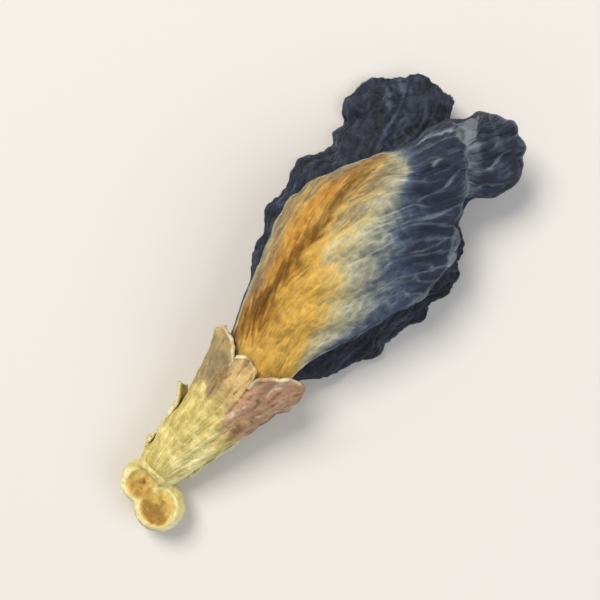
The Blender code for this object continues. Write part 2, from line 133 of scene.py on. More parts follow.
class Lobe(NamedTuple):
    """A calyx lobe: the angle where it starts, the angle of its tip, its length and how it ends.

    The tip stands out from the tube, and blunt is the share of the lobe's width that it keeps. The
    cut is how far the corners stay behind the apex, which lies between -1 and 1 across the lobe.
    """

    start: float
    angle: float
    reach: float
    stands_out: float
    blunt: float
    cut: float
    apex: float = 0.0


class Crease(NamedTuple):
    """A raised or sunken line on the standard petal, seen from above.

    It gives the line's points, its height, half its width and how pale its line is, partly as a
    painted highlight along it.
    """

    points: tuple[PlanPoint, ...]
    height: float
    width: float
    pale: float


class Patch(NamedTuple):
    """A soft-edged oval patch of colour, seen from above: its middle, half its length and width."""

    x: float
    y: float
    long: float
    wide: float
    strength: float = 1.0


# Numbers and fields


def smooth_step(low: float, high: float, value: np.ndarray) -> np.ndarray:
    """Rises smoothly from 0 at low to 1 at high.

    Args:
        low: Where the rise starts.
        high: Where it ends.
        value: Values to look up.

    Returns:
        The rise at each value.
    """
    t = np.clip((value - low) / (high - low), 0.0, 1.0)
    return t * t * (3.0 - 2.0 * t)


def hump(value: np.ndarray, centre: float | np.ndarray, width: float) -> np.ndarray:
    """A soft bump of height 1 at a centre, width wide on each side."""
    return np.exp(-(((value - centre) / width) ** 2))


def plateau(value: np.ndarray, rise: tuple[float, float], fall: tuple[float, float]) -> np.ndarray:
    """1 between a smooth rise and a smooth fall, and 0 outside them."""
    return smooth_step(*rise, value) * (1.0 - smooth_step(*fall, value))


def line_at(x: np.ndarray, line: Sequence[PlanPoint]) -> np.ndarray:
    """The y of a broken line in plan at each x."""
    return np.interp(x, *np.array(line).T)


def patched(x: np.ndarray, y: np.ndarray, patches: Sequence[Patch]) -> np.ndarray:
    """How strongly each place lies in the nearest of some soft patches.

    Args:
        x: Places along the flower.
        y: Places across it.
        patches: The patches.

    Returns:
        One strength a place.
    """
    cover = np.zeros_like(x)
    for patch in patches:
        off = ((x - patch.x) / patch.long) ** 2 + ((y - patch.y) / patch.wide) ** 2
        cover = np.maximum(cover, patch.strength * np.exp(-off))
    return cover


def soft_noise(places: np.ndarray, seed: int) -> np.ndarray:
    """Soft noise from -1 to 1, with features about one unit wide.

    Args:
        places: Points whose last axis holds two or three coordinates.
        seed: Which of the noises to read.

    Returns:
        One value a point.
    """
    shift = Vector((seed * 17.3, seed * 5.1, seed * 9.7))
    flat = places.reshape(-1, places.shape[-1])
    if flat.shape[1] == 2:
        flat = np.column_stack([flat, np.zeros(len(flat))])
    values = [noise.noise(Vector(place) + shift) for place in flat.tolist()]
    return np.array(values).reshape(places.shape[:-1])


def ridges(places: np.ndarray, seed: int, sharp: float = 1.5) -> np.ndarray:
    """Sharp crests from 0 to 1 where soft noise changes sign.

    Args:
        places: Points whose last axis holds two or three coordinates.
        seed: Which of the noises to read.
        sharp: How narrow the crests are.

    Returns:
        One height a point.
    """
    return np.clip(1.0 - 2.2 * np.abs(soft_noise(places, seed)), 0.0, 1.0) ** sharp


def crumpled(places: np.ndarray, seed: int) -> np.ndarray:
    """The creases of crumpled paper, from about 0 to 1: sharp crests at three sizes.

    Args:
        places: Points whose last axis holds two or three coordinates. The largest creases are one
            unit wide.
        seed: Which of the patterns to read.

    Returns:
        One height a point.
    """
    total = np.zeros(places.shape[:-1])
    for octave, share in enumerate((0.55, 0.28, 0.17)):
        off_crest = 1.9 * np.abs(soft_noise(places * 2.1**octave, seed + octave))
        total += share * (1.0 - np.clip(off_crest, 0.0, 1.0))
    return total


def dried_creases(
    veins: np.ndarray, points: np.ndarray, seed: int
) -> tuple[np.ndarray, np.ndarray, np.ndarray]:
    """The creases of a petal that shrank as it dried.

    Args:
        veins: Places along and across the veins, in millimetres.
        points: The petal's points.
        seed: Which of the patterns to read.

    Returns:
        The vein places bent a little out of line, the large creases and the small ones.
    """
    wander = np.stack([soft_noise(veins / 1.3, seed), soft_noise(veins / 1.3, seed + 1)], axis=-1)
    bent = veins + 0.32 * wander
    large = 0.5 * crumpled(bent / (1.9, 0.95), seed + 36) + 0.5 * crumpled(points / 1.5, seed + 29)
    return bent, large, crumpled(points / 0.7, seed + 40)


def cell_lines(places: np.ndarray, seed: int, line: float) -> np.ndarray:
    """Thin lines of a net: the borders between cells that are about one unit wide.

    Args:
        places: Points whose last axis holds two coordinates.
        seed: Which of the nets to read.
        line: Half the width of a line, in cells.

    Returns:
        1 on a line and 0 well inside a cell.
    """
    flat = places.reshape(-1, 2).tolist()
    gaps = []
    for a, b in flat:
        near = noise.voronoi(Vector((a + seed * 7.1, b + seed * 3.3, 0.5)))[0]
        gaps.append(near[1] - near[0])
    return np.exp(-((np.array(gaps) / line) ** 2)).reshape(places.shape[:-1])


def level_out(values: np.ndarray) -> np.ndarray:
    """Values from 0 to 1: 0 at the lowest twentieth of them and 1 at the highest."""
    low, high = np.percentile(values, (5.0, 95.0))
    return np.clip((values - low) / (high - low), 0.0, 1.0)


def vein_lines(veins: np.ndarray, spacing: float, width: float, seed: int) -> np.ndarray:
    """Thin raised veins side by side, which waver and fade in and out.

    Args:
        veins: Places along and across the veins, in millimetres.
        spacing: Distance between two veins.
        width: Half the width of one.
        seed: Which of the patterns to read.

    Returns:
        1 on a vein and 0 between two.
    """
    across = veins[..., 1] + 0.45 * spacing * soft_noise(veins / (2.6, 3.0 * spacing), seed)
    off_line = spacing * np.abs((across / spacing) % 1.0 - 0.5)
    strength = 0.3 + 0.7 * smooth_step(-0.35, 0.35, soft_noise(veins / (3.0, spacing), seed + 1))
    return np.exp(-((off_line / width) ** 2)) * strength


def line_distance(
    x: np.ndarray, y: np.ndarray, points: Sequence[PlanPoint]
) -> tuple[np.ndarray, np.ndarray]:
    """Distance to a broken line in plan, and the share of the way along it.

    Args:
        x: Places along the flower.
        y: Places across it.
        points: The line's corners.

    Returns:
        The distance, positive on the line's right-hand side, and the share from 0 to 1.
    """
    nearest = np.full(x.shape, np.inf)
    signed, share = np.zeros_like(x), np.zeros_like(x)
    steps = [math.dist(a, b) for a, b in zip(points, points[1:])]
    travelled = 0.0
    for (x0, y0), (x1, y1), step in zip(points, points[1:], steps):
        ahead = ((x1 - x0) / step, (y1 - y0) / step)
        reach = np.clip((x - x0) * ahead[0] + (y - y0) * ahead[1], 0.0, step)
        away = np.hypot(x - x0 - reach * ahead[0], y - y0 - reach * ahead[1])
        closer = away < nearest
        nearest = np.where(closer, away, nearest)
        right = (x - x0) * ahead[1] - (y - y0) * ahead[0]
        signed = np.where(closer, np.copysign(away, right), signed)
        share = np.where(closer, (travelled + reach) / sum(steps), share)
        travelled += step
    return signed, share


def knot_weights(knots: int, places: np.ndarray) -> np.ndarray:
    """Catmull-Rom weights that carry guide points to places between them.

    Args:
        knots: How many guide points there are.
        places: Places from 0 to knots - 1.

    Returns:
        One row of weights a place.
    """
    weights = np.zeros((len(places), knots))
    for row, place in enumerate(places):
        start = min(int(place), knots - 2)
        t = place - start
        parts = (
            0.5 * (-t + 2 * t**2 - t**3),
            0.5 * (2 - 5 * t**2 + 3 * t**3),
            0.5 * (t + 4 * t**2 - 3 * t**3),
            0.5 * (-(t**2) + t**3),
        )
        for offset, part in zip((-1, 0, 1, 2), parts):
            knot = start + offset
            if knot < 0:
                weights[row, 0] += 2 * part
                weights[row, 1] -= part
            elif knot >= knots:
                weights[row, knots - 1] += 2 * part
                weights[row, knots - 2] -= part
            else:
                weights[row, knot] += part
    return weights


def surface_through(
    net: Sequence[Sequence[Point]], along: np.ndarray, across: np.ndarray
) -> np.ndarray:
    """Points of the smooth surface through a net of guide points.

    Args:
        net: Rows of guide points.
        along: Places along the rows.
        across: Places across them.

    Returns:
        Points as rows by columns by 3.
    """
    guide = np.array(net, float)
    weights_along = knot_weights(guide.shape[0], along)
    weights_across = knot_weights(guide.shape[1], across)
    return np.einsum("ir,rck,jc->ijk", weights_along, guide, weights_across)


def spread_places(lengths: Sequence[float], count: int) -> np.ndarray:
    """Places between knots, closer together where the given lengths are larger.

    Args:
        lengths: How much of the samples each step between knots gets.
        count: How many samples.

    Returns:
        Places from 0 to the number of steps.
    """
    reached = np.concatenate([[0.0], np.cumsum(lengths)])
    return np.interp(np.linspace(0.0, reached[-1], count), reached, np.arange(len(reached)))


def grid_normals(points: np.ndarray) -> np.ndarray:
    """Unit normals of a grid of points."""
    normals = np.cross(np.gradient(points, axis=0), np.gradient(points, axis=1))
    return normals / np.maximum(np.linalg.norm(normals, axis=2, keepdims=True), 1e-9)


def arc_lengths(points: np.ndarray, axis: int) -> np.ndarray:
    """Distance travelled over the surface along one direction of its grid.

    Args:
        points: A grid of points.
        axis: 0 to travel along the rows and 1 across them.

    Returns:
        One distance a point.
    """
    steps = np.linalg.norm(np.diff(points, axis=axis), axis=2)
    start = np.zeros_like(np.take(steps, [0], axis=axis))
    return np.concatenate([start, np.cumsum(steps, axis=axis)], axis=axis)


def vein_places(along: np.ndarray, across: np.ndarray, narrow: float, wide: float) -> np.ndarray:
    """Where each point lies along its own vein and across the veins, in millimetres.

    The veins leave the midrib at one angle and lean out to another, 8 mm from it. Both sides read
    their patterns 40 mm apart, so that no side mirrors the other.

    Args:
        along: Distance along the petal.
        across: Distance from the midrib, with a sign for its side.
        narrow: Angle at the midrib, in degrees.
        wide: Angle at 8 mm from it, in degrees.

    Returns:
        The two distances on a new last axis.
    """
    full_lean, farthest, apart = 8.0, 14.0, 40.0
    out = np.linspace(0.0, farthest, 200)
    angle = np.radians(narrow + (wide - narrow) * np.clip(out / full_lean, 0.0, 1.0))
    run = np.concatenate([[0.0], np.cumsum(np.diff(out) / np.tan(angle[1:]))])
    offset = np.abs(across)
    leaves = along - np.interp(offset, out, run)
    middle = math.radians(0.5 * (narrow + wide))
    side = np.where(across < 0, apart, 0.0)
    return np.stack([offset / math.sin(middle), leaves * math.sin(middle) + side], axis=-1)


# Meshes


def grid_quads(rows: int, columns: int, wrap: bool = False) -> np.ndarray:
    """Corner numbers of the quads of a grid.

    Args:
        rows: Points along.
        columns: Points across.
        wrap: Whether the last column meets the first.

    Returns:
        One row of four corners a quad.
    """
    last = columns if wrap else columns - 1
    i, j = np.meshgrid(np.arange(rows - 1), np.arange(last), indexing="ij")
    here, beside = i * columns + j, i * columns + (j + 1) % columns
    return np.stack([here, here + columns, beside + columns, beside], axis=-1).reshape(-1, 4)


def quad_normals(points: np.ndarray, quads: np.ndarray) -> np.ndarray:
    """Unit normals at the points of any mesh of quads.

    Args:
        points: The mesh's points.
        quads: Corner numbers of its faces.

    Returns:
        One normal a point.
    """
    corners = points[quads]
    facing = np.cross(corners[:, 2] - corners[:, 0], corners[:, 3] - corners[:, 1])
    normals = np.zeros_like(points)
    for corner in range(4):
        np.add.at(normals, quads[:, corner], facing)
    return normals / np.maximum(np.linalg.norm(normals, axis=1, keepdims=True), 1e-9)


def make_mesh(
    name: str, points: np.ndarray, quads: np.ndarray, marks: dict[Mark, np.ndarray]
) -> bpy.types.Object:
    """A smooth-shaded object in the part's frame, with its marks stored on its points.

    Args:
        name: The piece's name.
        points: Layout points in millimetres.
        quads: Corner numbers of its faces.
        marks: Values for the finish, one a point.

    Returns:
        The new object, in the scene.
    """
    mesh = bpy.data.meshes.new(name)
    mesh.from_pydata(((points - ORIGIN) * MM).tolist(), [], quads.tolist())
    for mark, values in marks.items():
        kind, socket = ("FLOAT_VECTOR", "vector") if mark is Mark.SHEET else ("FLOAT", "value")
        stored = mesh.attributes.new(mark.value, kind, "POINT")
        stored.data.foreach_set(socket, np.asarray(values, np.float32).ravel())
    mesh.shade_smooth()
    piece = bpy.data.objects.new(name, mesh)
    bpy.context.scene.collection.objects.link(piece)
    return piece


def make_sheet(
    name: str,
    points: np.ndarray,
    marks: dict[Mark, np.ndarray],
    thickness: float,
    quads: np.ndarray | None = None,
) -> bpy.types.Object:
    """A thin sheet, with half its thickness on each side of its middle surface.

    Args:
        name: The piece's name.
        points: Its middle surface, as a grid of points unless quads are given.
        marks: Values for the finish, one a point.
        thickness: How thick it is, in millimetres.
        quads: Corner numbers of its faces, where the points are no grid.

    Returns:
        The new object, in the scene.
    """
    if quads is None:
        quads = grid_quads(*points.shape[:2])
    piece = make_mesh(name, points.reshape(-1, 3), quads, marks)
    shell = piece.modifiers.new("thickness", "SOLIDIFY")
    shell.thickness = thickness * MM
    shell.offset = 0.0
    shell.use_even_offset = False
    return piece


def sheet_marks(veins: np.ndarray) -> np.ndarray:
    """Vein places as the three values that the finish reads."""
    flat = veins.reshape(-1, 2)
    return np.column_stack([flat, np.zeros(len(flat))])


def tube_mesh(
    points: Sequence[Point], radii: Sequence[float], around: int, along: int
) -> PointsAndQuads:
    """A round rod through guide points, with rounded ends.

    Args:
        points: Guide points.
        radii: The rod's radius at each.
        around: Points round the rod.
        along: Rings along it.

    Returns:
        Its points and its quads.
    """
    places = np.linspace(0.0, len(points) - 1.0, along)
    weights = knot_weights(len(points), places)
    centres = weights @ np.array(points, float)
    radius = weights @ np.array(radii, float)
    travelled = np.concatenate([[0.0], np.cumsum(np.linalg.norm(np.diff(centres, axis=0), axis=1))])
    from_end = np.minimum(travelled, travelled[-1] - travelled)
    to_tip = 1.0 - np.clip(from_end / radius, 0.0, 1.0)
    pinprick = 0.02
    radius = radius * np.sqrt(np.clip(1.0 - to_tip**2, pinprick**2, 1.0))
    ahead = np.gradient(centres, axis=0)
    ahead /= np.linalg.norm(ahead, axis=1, keepdims=True)
    side = np.cross(ahead, (0.0, 0.0, 1.0))
    side /= np.linalg.norm(side, axis=1, keepdims=True)
    up = np.cross(side, ahead)
    turn = np.linspace(0.0, 2.0 * math.pi, around, endpoint=False)
    ring = np.cos(turn)[None, :, None] * side[:, None, :]
    ring = ring + np.sin(turn)[None, :, None] * up[:, None, :]
    rod = centres[:, None, :] + radius[:, None, None] * ring
    return rod.reshape(-1, 3), grid_quads(along, around, wrap=True)


def ball_mesh(centre: Point, radius: float, squash: float = 1.0) -> PointsAndQuads:
    """A ball, open by a pinprick at both ends.

    Args:
        centre: Its middle.
        radius: Its radius.
        squash: Its length along the flower, as a share of its width.

    Returns:
        Its points and its quads.
    """
    rings, around, pinprick = 40, 56, 0.02
    polar = np.linspace(pinprick, math.pi - pinprick, rings)[:, None]
    turn = np.linspace(0.0, 2.0 * math.pi, around, endpoint=False)[None, :]
    along = squash * np.cos(polar) * np.ones_like(turn)
    ball = np.stack([along, np.sin(polar) * np.cos(turn), np.sin(polar) * np.sin(turn)], axis=-1)
    return np.array(centre) + radius * ball.reshape(-1, 3), grid_quads(rings, around, wrap=True)


def joined(parts: Sequence[PointsAndQuads]) -> PointsAndQuads:
    """Several meshes as one.

    Args:
        parts: The points and quads of each.

    Returns:
        All their points and all their quads.
    """
    points, quads, count = [], [], 0
    for part_points, part_quads in parts:
        points.append(part_points)
        quads.append(part_quads + count)
        count += len(part_points)
    return np.concatenate(points), np.concatenate(quads)


# Finishes


def linear(colour: str) -> tuple[float, float, float, float]:
    """An sRGB hex colour as linear light.

    Args:
        colour: Six hex digits after a hash sign.

    Returns:
        Linear red, green, blue and full opacity.
    """
    values = [int(colour[i : i + 2], 16) / 255.0 for i in (1, 3, 5)]
    red, green, blue = (v / 12.92 if v <= 0.04045 else ((v + 0.055) / 1.055) ** 2.4 for v in values)
    return (red, green, blue, 1.0)


def add_node(
    tree: bpy.types.NodeTree,
    kind: str,
    settings: dict[str, Any] | None = None,
    inputs: dict[str | int, Any] | None = None,
) -> bpy.types.Node:
    """Adds a shader node with its settings, values and links.

    Args:
        tree: The material's node tree.
        kind: The node's type name.
        settings: The node's own settings by name.
        inputs: A value, or a socket to link from, for each input by name or number.

    Returns:
        The new node.
    """
    node = tree.nodes.new(kind)
    for name, value in (settings or {}).items():
        setattr(node, name, value)
    for key, value in (inputs or {}).items():
        if isinstance(value, bpy.types.NodeSocket):
            tree.links.new(value, node.inputs[key])
        else:
            node.inputs[key].default_value = value
    return node


def empty_material(name: str) -> bpy.types.Material:
    """A new material whose node tree is empty.

    Args:
        name: The material's name.

    Returns:
        The material.
    """
    material = bpy.data.materials.new(name)
    material.use_nodes = True
    material.node_tree.nodes.clear()
    return material


class Layer(NamedTuple):
    """A colour that shows where a mark is strong: not at all up to start, and fully from full on.

    The tissue's grain shifts the edge of the layer by up to half of ragged.
    """

    mark: Mark
    colour: str
    start: float = 0.0
    full: float = 1.0
    ragged: float = 0.0


@dataclass(frozen=True)
class DriedTissue:
    """Dried plant tissue: matt, streaked along its veins and finely wrinkled.

    Its colour runs through the stops along the FADE mark, and feather is how far the streaks shift
    it there. Shade is painted into the hollows of the relief mark and highlights onto its crests,
    within shade.
    """

    name: str
    stops: tuple[tuple[float, str], ...]
    layers: tuple[Layer, ...] = ()
    feather: float = 0.3
    shade: tuple[float, float] = (0.68, 1.16)
    # Real fibres, cells and wrinkles are 0.03 to 0.05 mm wide and the render shows 0.07 mm a pixel,
    # so they are drawn four to ten times as wide, which is as fine as it can show them
    streak_mm: tuple[float, float] = (2.0, 0.17)
    grain_mm: float = 0.55
    wrinkle_mm: float = 0.2
    # A petal dries unevenly, in paler and darker clouds of one to two millimetres
    blotch_mm: float = 5.0 / 3.0
    blotch_shade: tuple[float, float] = (0.88, 1.08)
    # The wrinkles' noise paints shade into their hollows and highlights onto their crests, within
    # these factors
    wrinkle_shade: tuple[float, float] = (0.8, 1.13)
    # A noise hardly leaves these values, so they are what its own range is stretched from
    noise_span: tuple[float, float] = (0.3, 0.7)
    sharp_span: tuple[float, float] = (0.32, 0.68)
    bump_mm: float = 0.04
    streak_bump: float = 0.2
    roughness: tuple[float, float] = (0.6, 0.85)
    refraction: float = 1.45
    gleam: float = 0.35
    sheen: float = 0.12
    sheen_roughness: float = 0.4
    # Light that gets into the tissue comes out a quarter of a millimetre on, warmer than it went in
    glow: float = 0.08
    glow_mm: float = 0.25
    glow_spread: tuple[float, float, float] = (1.0, 0.8, 0.5)

    def make(self) -> bpy.types.Material:
        """Builds the material.

        Returns:
            The finished material.
        """
        material = empty_material(self.name)
        tree = material.node_tree
        streak, grain, wrinkle, blotch = self._patterns(tree)
        # Painted shade darkens the colour in the hollows and painted highlights lighten it on the
        # crests, by the relief mark and the wrinkles; the blotches are the tissue's own paler and
        # darker clouds
        painted_relief_shade = add_node(
            tree, "ShaderNodeAttribute", {"attribute_name": Mark.PAINTED_RELIEF_SHADE.value}
        ).outputs["Fac"]
        scales = []
        for value, (low, high), (least, most) in (
            (painted_relief_shade, (0.0, 1.0), self.shade),
            (blotch, self.noise_span, self.blotch_shade),
            (wrinkle, self.noise_span, self.wrinkle_shade),
            (wrinkle, self.noise_span, self.roughness),
        ):
            span = {"From Min": low, "From Max": high, "To Min": least, "To Max": most}
            scaled = add_node(tree, "ShaderNodeMapRange", inputs={"Value": value, **span})
            scales.append(scaled.outputs["Result"])
        brightness, *others, rough = scales
        for factor in others:
            brightness = add_node(
                tree, "ShaderNodeMath", {"operation": "MULTIPLY"}, {0: brightness, 1: factor}
            ).outputs[0]
        shaded = add_node(
            tree,
            "ShaderNodeVectorMath",
            {"operation": "SCALE"},
            {0: self._colour(tree, streak, grain), "Scale": brightness},
        )
        height = add_node(
            tree,
            "ShaderNodeMath",
            {"operation": "MULTIPLY_ADD"},
            {0: streak, 1: self.streak_bump, 2: wrinkle},
        )
        bump = add_node(
            tree,
            "ShaderNodeBump",
            inputs={"Height": height.outputs[0], "Strength": 1.0, "Distance": self.bump_mm * MM},
        )
        shader = add_node(
            tree,
            "ShaderNodeBsdfPrincipled",
            inputs={
                "Base Color": shaded.outputs[0],
                "Roughness": rough,
                "Normal": bump.outputs[0],
                "IOR": self.refraction,
                "Specular IOR Level": self.gleam,
                "Sheen Weight": self.sheen,
                "Sheen Roughness": self.sheen_roughness,
                "Subsurface Weight": self.glow,
                "Subsurface Radius": self.glow_spread,
                "Subsurface Scale": self.glow_mm * MM,
            },
        )
        add_node(tree, "ShaderNodeOutputMaterial", inputs={"Surface": shader.outputs[0]})
        return material

    def _patterns(self, tree: bpy.types.NodeTree) -> list[bpy.types.NodeSocket]:
        """The tissue's patterns, each at its own size.

        Args:
            tree: The material's node tree.

        Returns:
            The streaks and the grain, spread out to run from 0 to 1, then the wrinkles and the
            blotches, which stay near 0.5.
        """
        place = add_node(
            tree, "ShaderNodeAttribute", {"attribute_name": Mark.SHEET.value}
        ).outputs["Vector"]
        length, width = self.streak_mm
        squeeze = (1.0 / length, 1.0 / width, 1.0 / width)
        stretched = add_node(
            tree, "ShaderNodeMapping", inputs={"Vector": place, "Scale": squeeze}
        ).outputs[0]
        low, high = self.sharp_span
        patterns = []
        for source, size, detail, coarseness, spread in (
            (stretched, 1.0, 3.0, 0.6, True),
            (place, self.grain_mm, 4.0, 0.65, True),
            (place, self.wrinkle_mm, 3.0, 0.6, False),
            (place, self.blotch_mm, 2.0, 0.5, False),
        ):
            look = {"Scale": 1.0 / size, "Detail": detail, "Roughness": coarseness}
            texture = add_node(tree, "ShaderNodeTexNoise", inputs={"Vector": source, **look})
            pattern = texture.outputs["Fac"]
            if spread:
                span = {"Value": pattern, "From Min": low, "From Max": high}
                pattern = add_node(tree, "ShaderNodeMapRange", inputs=span).outputs["Result"]
            patterns.append(pattern)
        return patterns

    def _colour(
        self, tree: bpy.types.NodeTree, streak: bpy.types.NodeSocket, grain: bpy.types.NodeSocket
    ) -> bpy.types.NodeSocket:
        """The colour along the fade, under the layers.

        Args:
            tree: The material's node tree.
            streak: The tissue's streaks.
            grain: Its grain.

        Returns:
            The colour, before any shading.
        """
        faded = self._shifted(tree, Mark.FADE, streak, self.feather)
        ramp = add_node(tree, "ShaderNodeValToRGB", inputs={"Fac": faded})
        elements = ramp.color_ramp.elements
        for element, (at, hue) in zip(elements, (self.stops[0], self.stops[-1])):
            element.position, element.color = at, linear(hue)
        for at, hue in self.stops[1:-1]:
            elements.new(at).color = linear(hue)
        colour = ramp.outputs["Color"]
        for layer in self.layers:
            strength = self._shifted(tree, layer.mark, grain, layer.ragged)
            share = add_node(
                tree,
                "ShaderNodeMapRange",
                {"interpolation_type": "SMOOTHSTEP"},
                {"Value": strength, "From Min": layer.start, "From Max": layer.full},
            ).outputs["Result"]
            mixed = {0: share, 6: colour, 7: linear(layer.colour)}
            colour = add_node(tree, "ShaderNodeMix", {"data_type": "RGBA"}, mixed).outputs[2]
        return colour

    def _shifted(
        self, tree: bpy.types.NodeTree, mark: Mark, pattern: bpy.types.NodeSocket, ragged: float
    ) -> bpy.types.NodeSocket:
        """A mark with a pattern added to it.

        Args:
            tree: The material's node tree.
            mark: The mark.
            pattern: The tissue's streaks or its grain, from 0 to 1.
            ragged: How far it shifts the mark.

        Returns:
            The shifted mark.
        """
        value = add_node(tree, "ShaderNodeAttribute", {"attribute_name": mark.value}).outputs["Fac"]
        centred = {0: pattern, 1: ragged, 2: -0.5 * ragged}
        shift = add_node(tree, "ShaderNodeMath", {"operation": "MULTIPLY_ADD"}, centred).outputs[0]
        return add_node(tree, "ShaderNodeMath", {"operation": "ADD"}, {0: value, 1: shift}).outputs[0]


@dataclass(frozen=True)
class MattLaminate:
    """A pale table top of matt laminate: one even tone with hardly any gleam."""

    name: str = "matt_white_laminate"
    colour: str = "#d8d5d0"
    roughness: float = 0.7
    gleam: float = 0.2

    def make(self) -> bpy.types.Material:
        """Builds the material.

        Returns:
            The finished material.
        """
        material = empty_material(self.name)
        tree = material.node_tree
        shader = add_node(
            tree,
            "ShaderNodeBsdfPrincipled",
            inputs={
                "Base Color": linear(self.colour),
                "Roughness": self.roughness,
                "Specular IOR Level": self.gleam,
            },
        )
        add_node(tree, "ShaderNodeOutputMaterial", inputs={"Surface": shader.outputs[0]})
        return material


# A papery petal that dried from deep blue round a yellow eye: matt, feathered, with pale raised
# veins, and painted highlights on its rolled rims and crests
STANDARD_TISSUE = DriedTissue(
    "dried_blue_petal_with_yellow_eye",
    (
        (0.0, "#222a3d"),
        (0.12, "#2f3950"),
        (0.21, "#3d495f"),
        (0.29, "#536070"),
        (0.37, "#7b827e"),
        (0.45, "#999b88"),
        (0.55, "#b1ac8b"),
        (0.65, "#c4b47d"),
        (0.74, "#d2b163"),
        (0.9, "#d7ab4c"),
    ),
    (
        Layer(Mark.ASH, "#c9c8b8", 0.25, 1.3, 0.3),
        Layer(Mark.LINES, "#66707c", 0.15, 1.7, 0.4),
        Layer(Mark.EDGE, "#79828a", 0.15, 1.1, 0.35),
        Layer(Mark.WARM, "#c28a36", 0.2, 1.2, 0.5),
        Layer(Mark.BLUSH, "#85755a", 0.1, 1.0, 0.5),
        Layer(Mark.GROOVE, "#8f6017", 0.1, 1.05, 0.4),
    ),
    feather=0.13,
    streak_mm=(1.3, 0.24),
)
# The same kind of petal, deep indigo all over and darkened a little as painted shade, with painted
# shade in its hollows, painted highlights on its crests and thin pale margins
WING_TISSUE = DriedTissue(
    "dried_indigo_petal",
    ((0.1, "#11151f"), (0.45, "#1a2130"), (0.75, "#283143"), (0.98, "#414b5a")),
    (Layer(Mark.LINES, "#4d5768", 0.3, 1.5, 0.3), Layer(Mark.EDGE, "#767f86", 0.35, 1.1, 0.4)),
    feather=0.2,
    streak_mm=(1.3, 0.28),
    roughness=(0.5, 0.75),
    sheen=0.2,
)
# Dried leaf tissue of the calyx: dull straw green, painted paler on its lumps as highlights, with
# ashen and blushed lobes
CALYX_TISSUE = DriedTissue(
    "dried_straw_green_calyx",
    ((0.05, "#a8954a"), (0.35, "#cab966"), (0.65, "#dacb7d"), (0.95, "#e9dc9c")),
    (
        Layer(Mark.WARM, "#d2b377", 0.0, 1.0, 0.5),
        Layer(Mark.ASH, "#9c8b62", 0.0, 1.0, 0.6),
        Layer(Mark.BLUSH, "#b58d70", 0.0, 1.0, 0.6),
        Layer(Mark.GROOVE, "#7b5a38", 0.3, 1.1, 0.5),
        Layer(Mark.EDGE, "#dfd6b0", 0.3, 1.1, 0.4),
    ),
    shade=(0.8, 1.12),
    streak_mm=(1.6, 0.22),
    sheen=0.05,
    glow=0.12,
)
# Dried stalk tissue of the knob: smooth pale rims with painted highlights round shallow golden scars,
# painted darker towards their middles as shade
KNOB_TISSUE = DriedTissue(
    "dried_stalk_knob",
    ((0.05, "#e6db9c"), (0.35, "#d9ca82"), (0.6, "#d3ad58"), (0.95, "#a07a34")),
    (Layer(Mark.GROOVE, "#8c631f", 0.3, 1.1, 0.4), Layer(Mark.EDGE, "#ebe1ad", 0.25, 1.1, 0.3)),
    feather=0.2,
    shade=(0.74, 1.1),
    streak_mm=(0.5, 0.3),
    wrinkle_mm=0.28,
    sheen=0.0,
    glow=0.15,
)
# Thin pale petal tissue of the keel, with a breath of lilac at its tip
KEEL_TISSUE = DriedTissue(
    "dried_pale_keel_petal",
    ((0.1, "#a99d76"), (0.5, "#c6bc94"), (0.9, "#ded7b8")),
    (Layer(Mark.BLUSH, "#7c7d92", 0.3, 1.0, 0.4),),
    glow=0.2,
)
# Joined filaments and anthers: straw-coloured dried strands
STRAND_TISSUE = DriedTissue(
    "dried_straw_filaments",
    ((0.1, "#ac9a60"), (0.5, "#c9b980"), (0.9, "#e0d5a6")),
    (Layer(Mark.WARM, "#a88a45", 0.3, 1.0, 0.3),),
    streak_mm=(1.0, 0.1),
    glow=0.15,
)
# Ovary and style: dull green tissue with a paler stigma
PISTIL_TISSUE = DriedTissue(
    "dried_green_pistil",
    ((0.1, "#7d7840"), (0.5, "#9c9654"), (0.9, "#bcb67a")),
    (Layer(Mark.EDGE, "#d8cfa0", 0.3, 1.0, 0.2),),
    streak_mm=(1.2, 0.12),
    glow=0.1,
)


def dress(piece: bpy.types.Object, tissue: DriedTissue, slot: str, *nodes: str) -> None:
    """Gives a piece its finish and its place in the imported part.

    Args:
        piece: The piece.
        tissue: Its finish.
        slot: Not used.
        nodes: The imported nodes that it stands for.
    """
    piece.data.materials.clear()
    piece.data.materials.append(bpy.data.materials.get(tissue.name) or tissue.make())
    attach(piece, BODY)
    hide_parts(*nodes)
    log.info("%s: %d faces, for %s", piece.name, len(piece.data.polygons), ", ".join(nodes))


def arch_row(arch: Arch, count: int) -> list[Point]:
    """Guide points spread evenly over an arch.

    Args:
        arch: The arch.
        count: How many points.

    Returns:
        The points, from its start to its end.
    """
    row = []
    for angle in np.radians(np.linspace(arch.start, arch.end, count)):
        y = arch.y + arch.half_width * math.cos(angle)
        row.append((arch.x, y, arch.z + arch.half_height * math.sin(angle)))
    return row


class PetalSheet(NamedTuple):
    """The large petal's middle surface as grids: its points and where each of them lies.

    The place is between the guide columns, along is the way over the petal, across is the way from
    the midrib, and to_end is the way on to the tip.
    """

    points: np.ndarray
    place: np.ndarray
    along: np.ndarray
    across: np.ndarray
    to_end: np.ndarray
    veins: np.ndarray

    @property
    def x(self) -> np.ndarray:
        """Places along the flower."""
        return self.points[..., 0]

    @property
    def y(self) -> np.ndarray:
        """Places across the flower."""
        return self.points[..., 1]


class Zones(NamedTuple):
    """The parts of the large petal: what faces up, how it fades, and the way off its midrib."""

    top: np.ndarray
    fade: np.ndarray
    yellow: np.ndarray
    blue: np.ndarray
    off_midrib: np.ndarray
    ribbed: np.ndarray


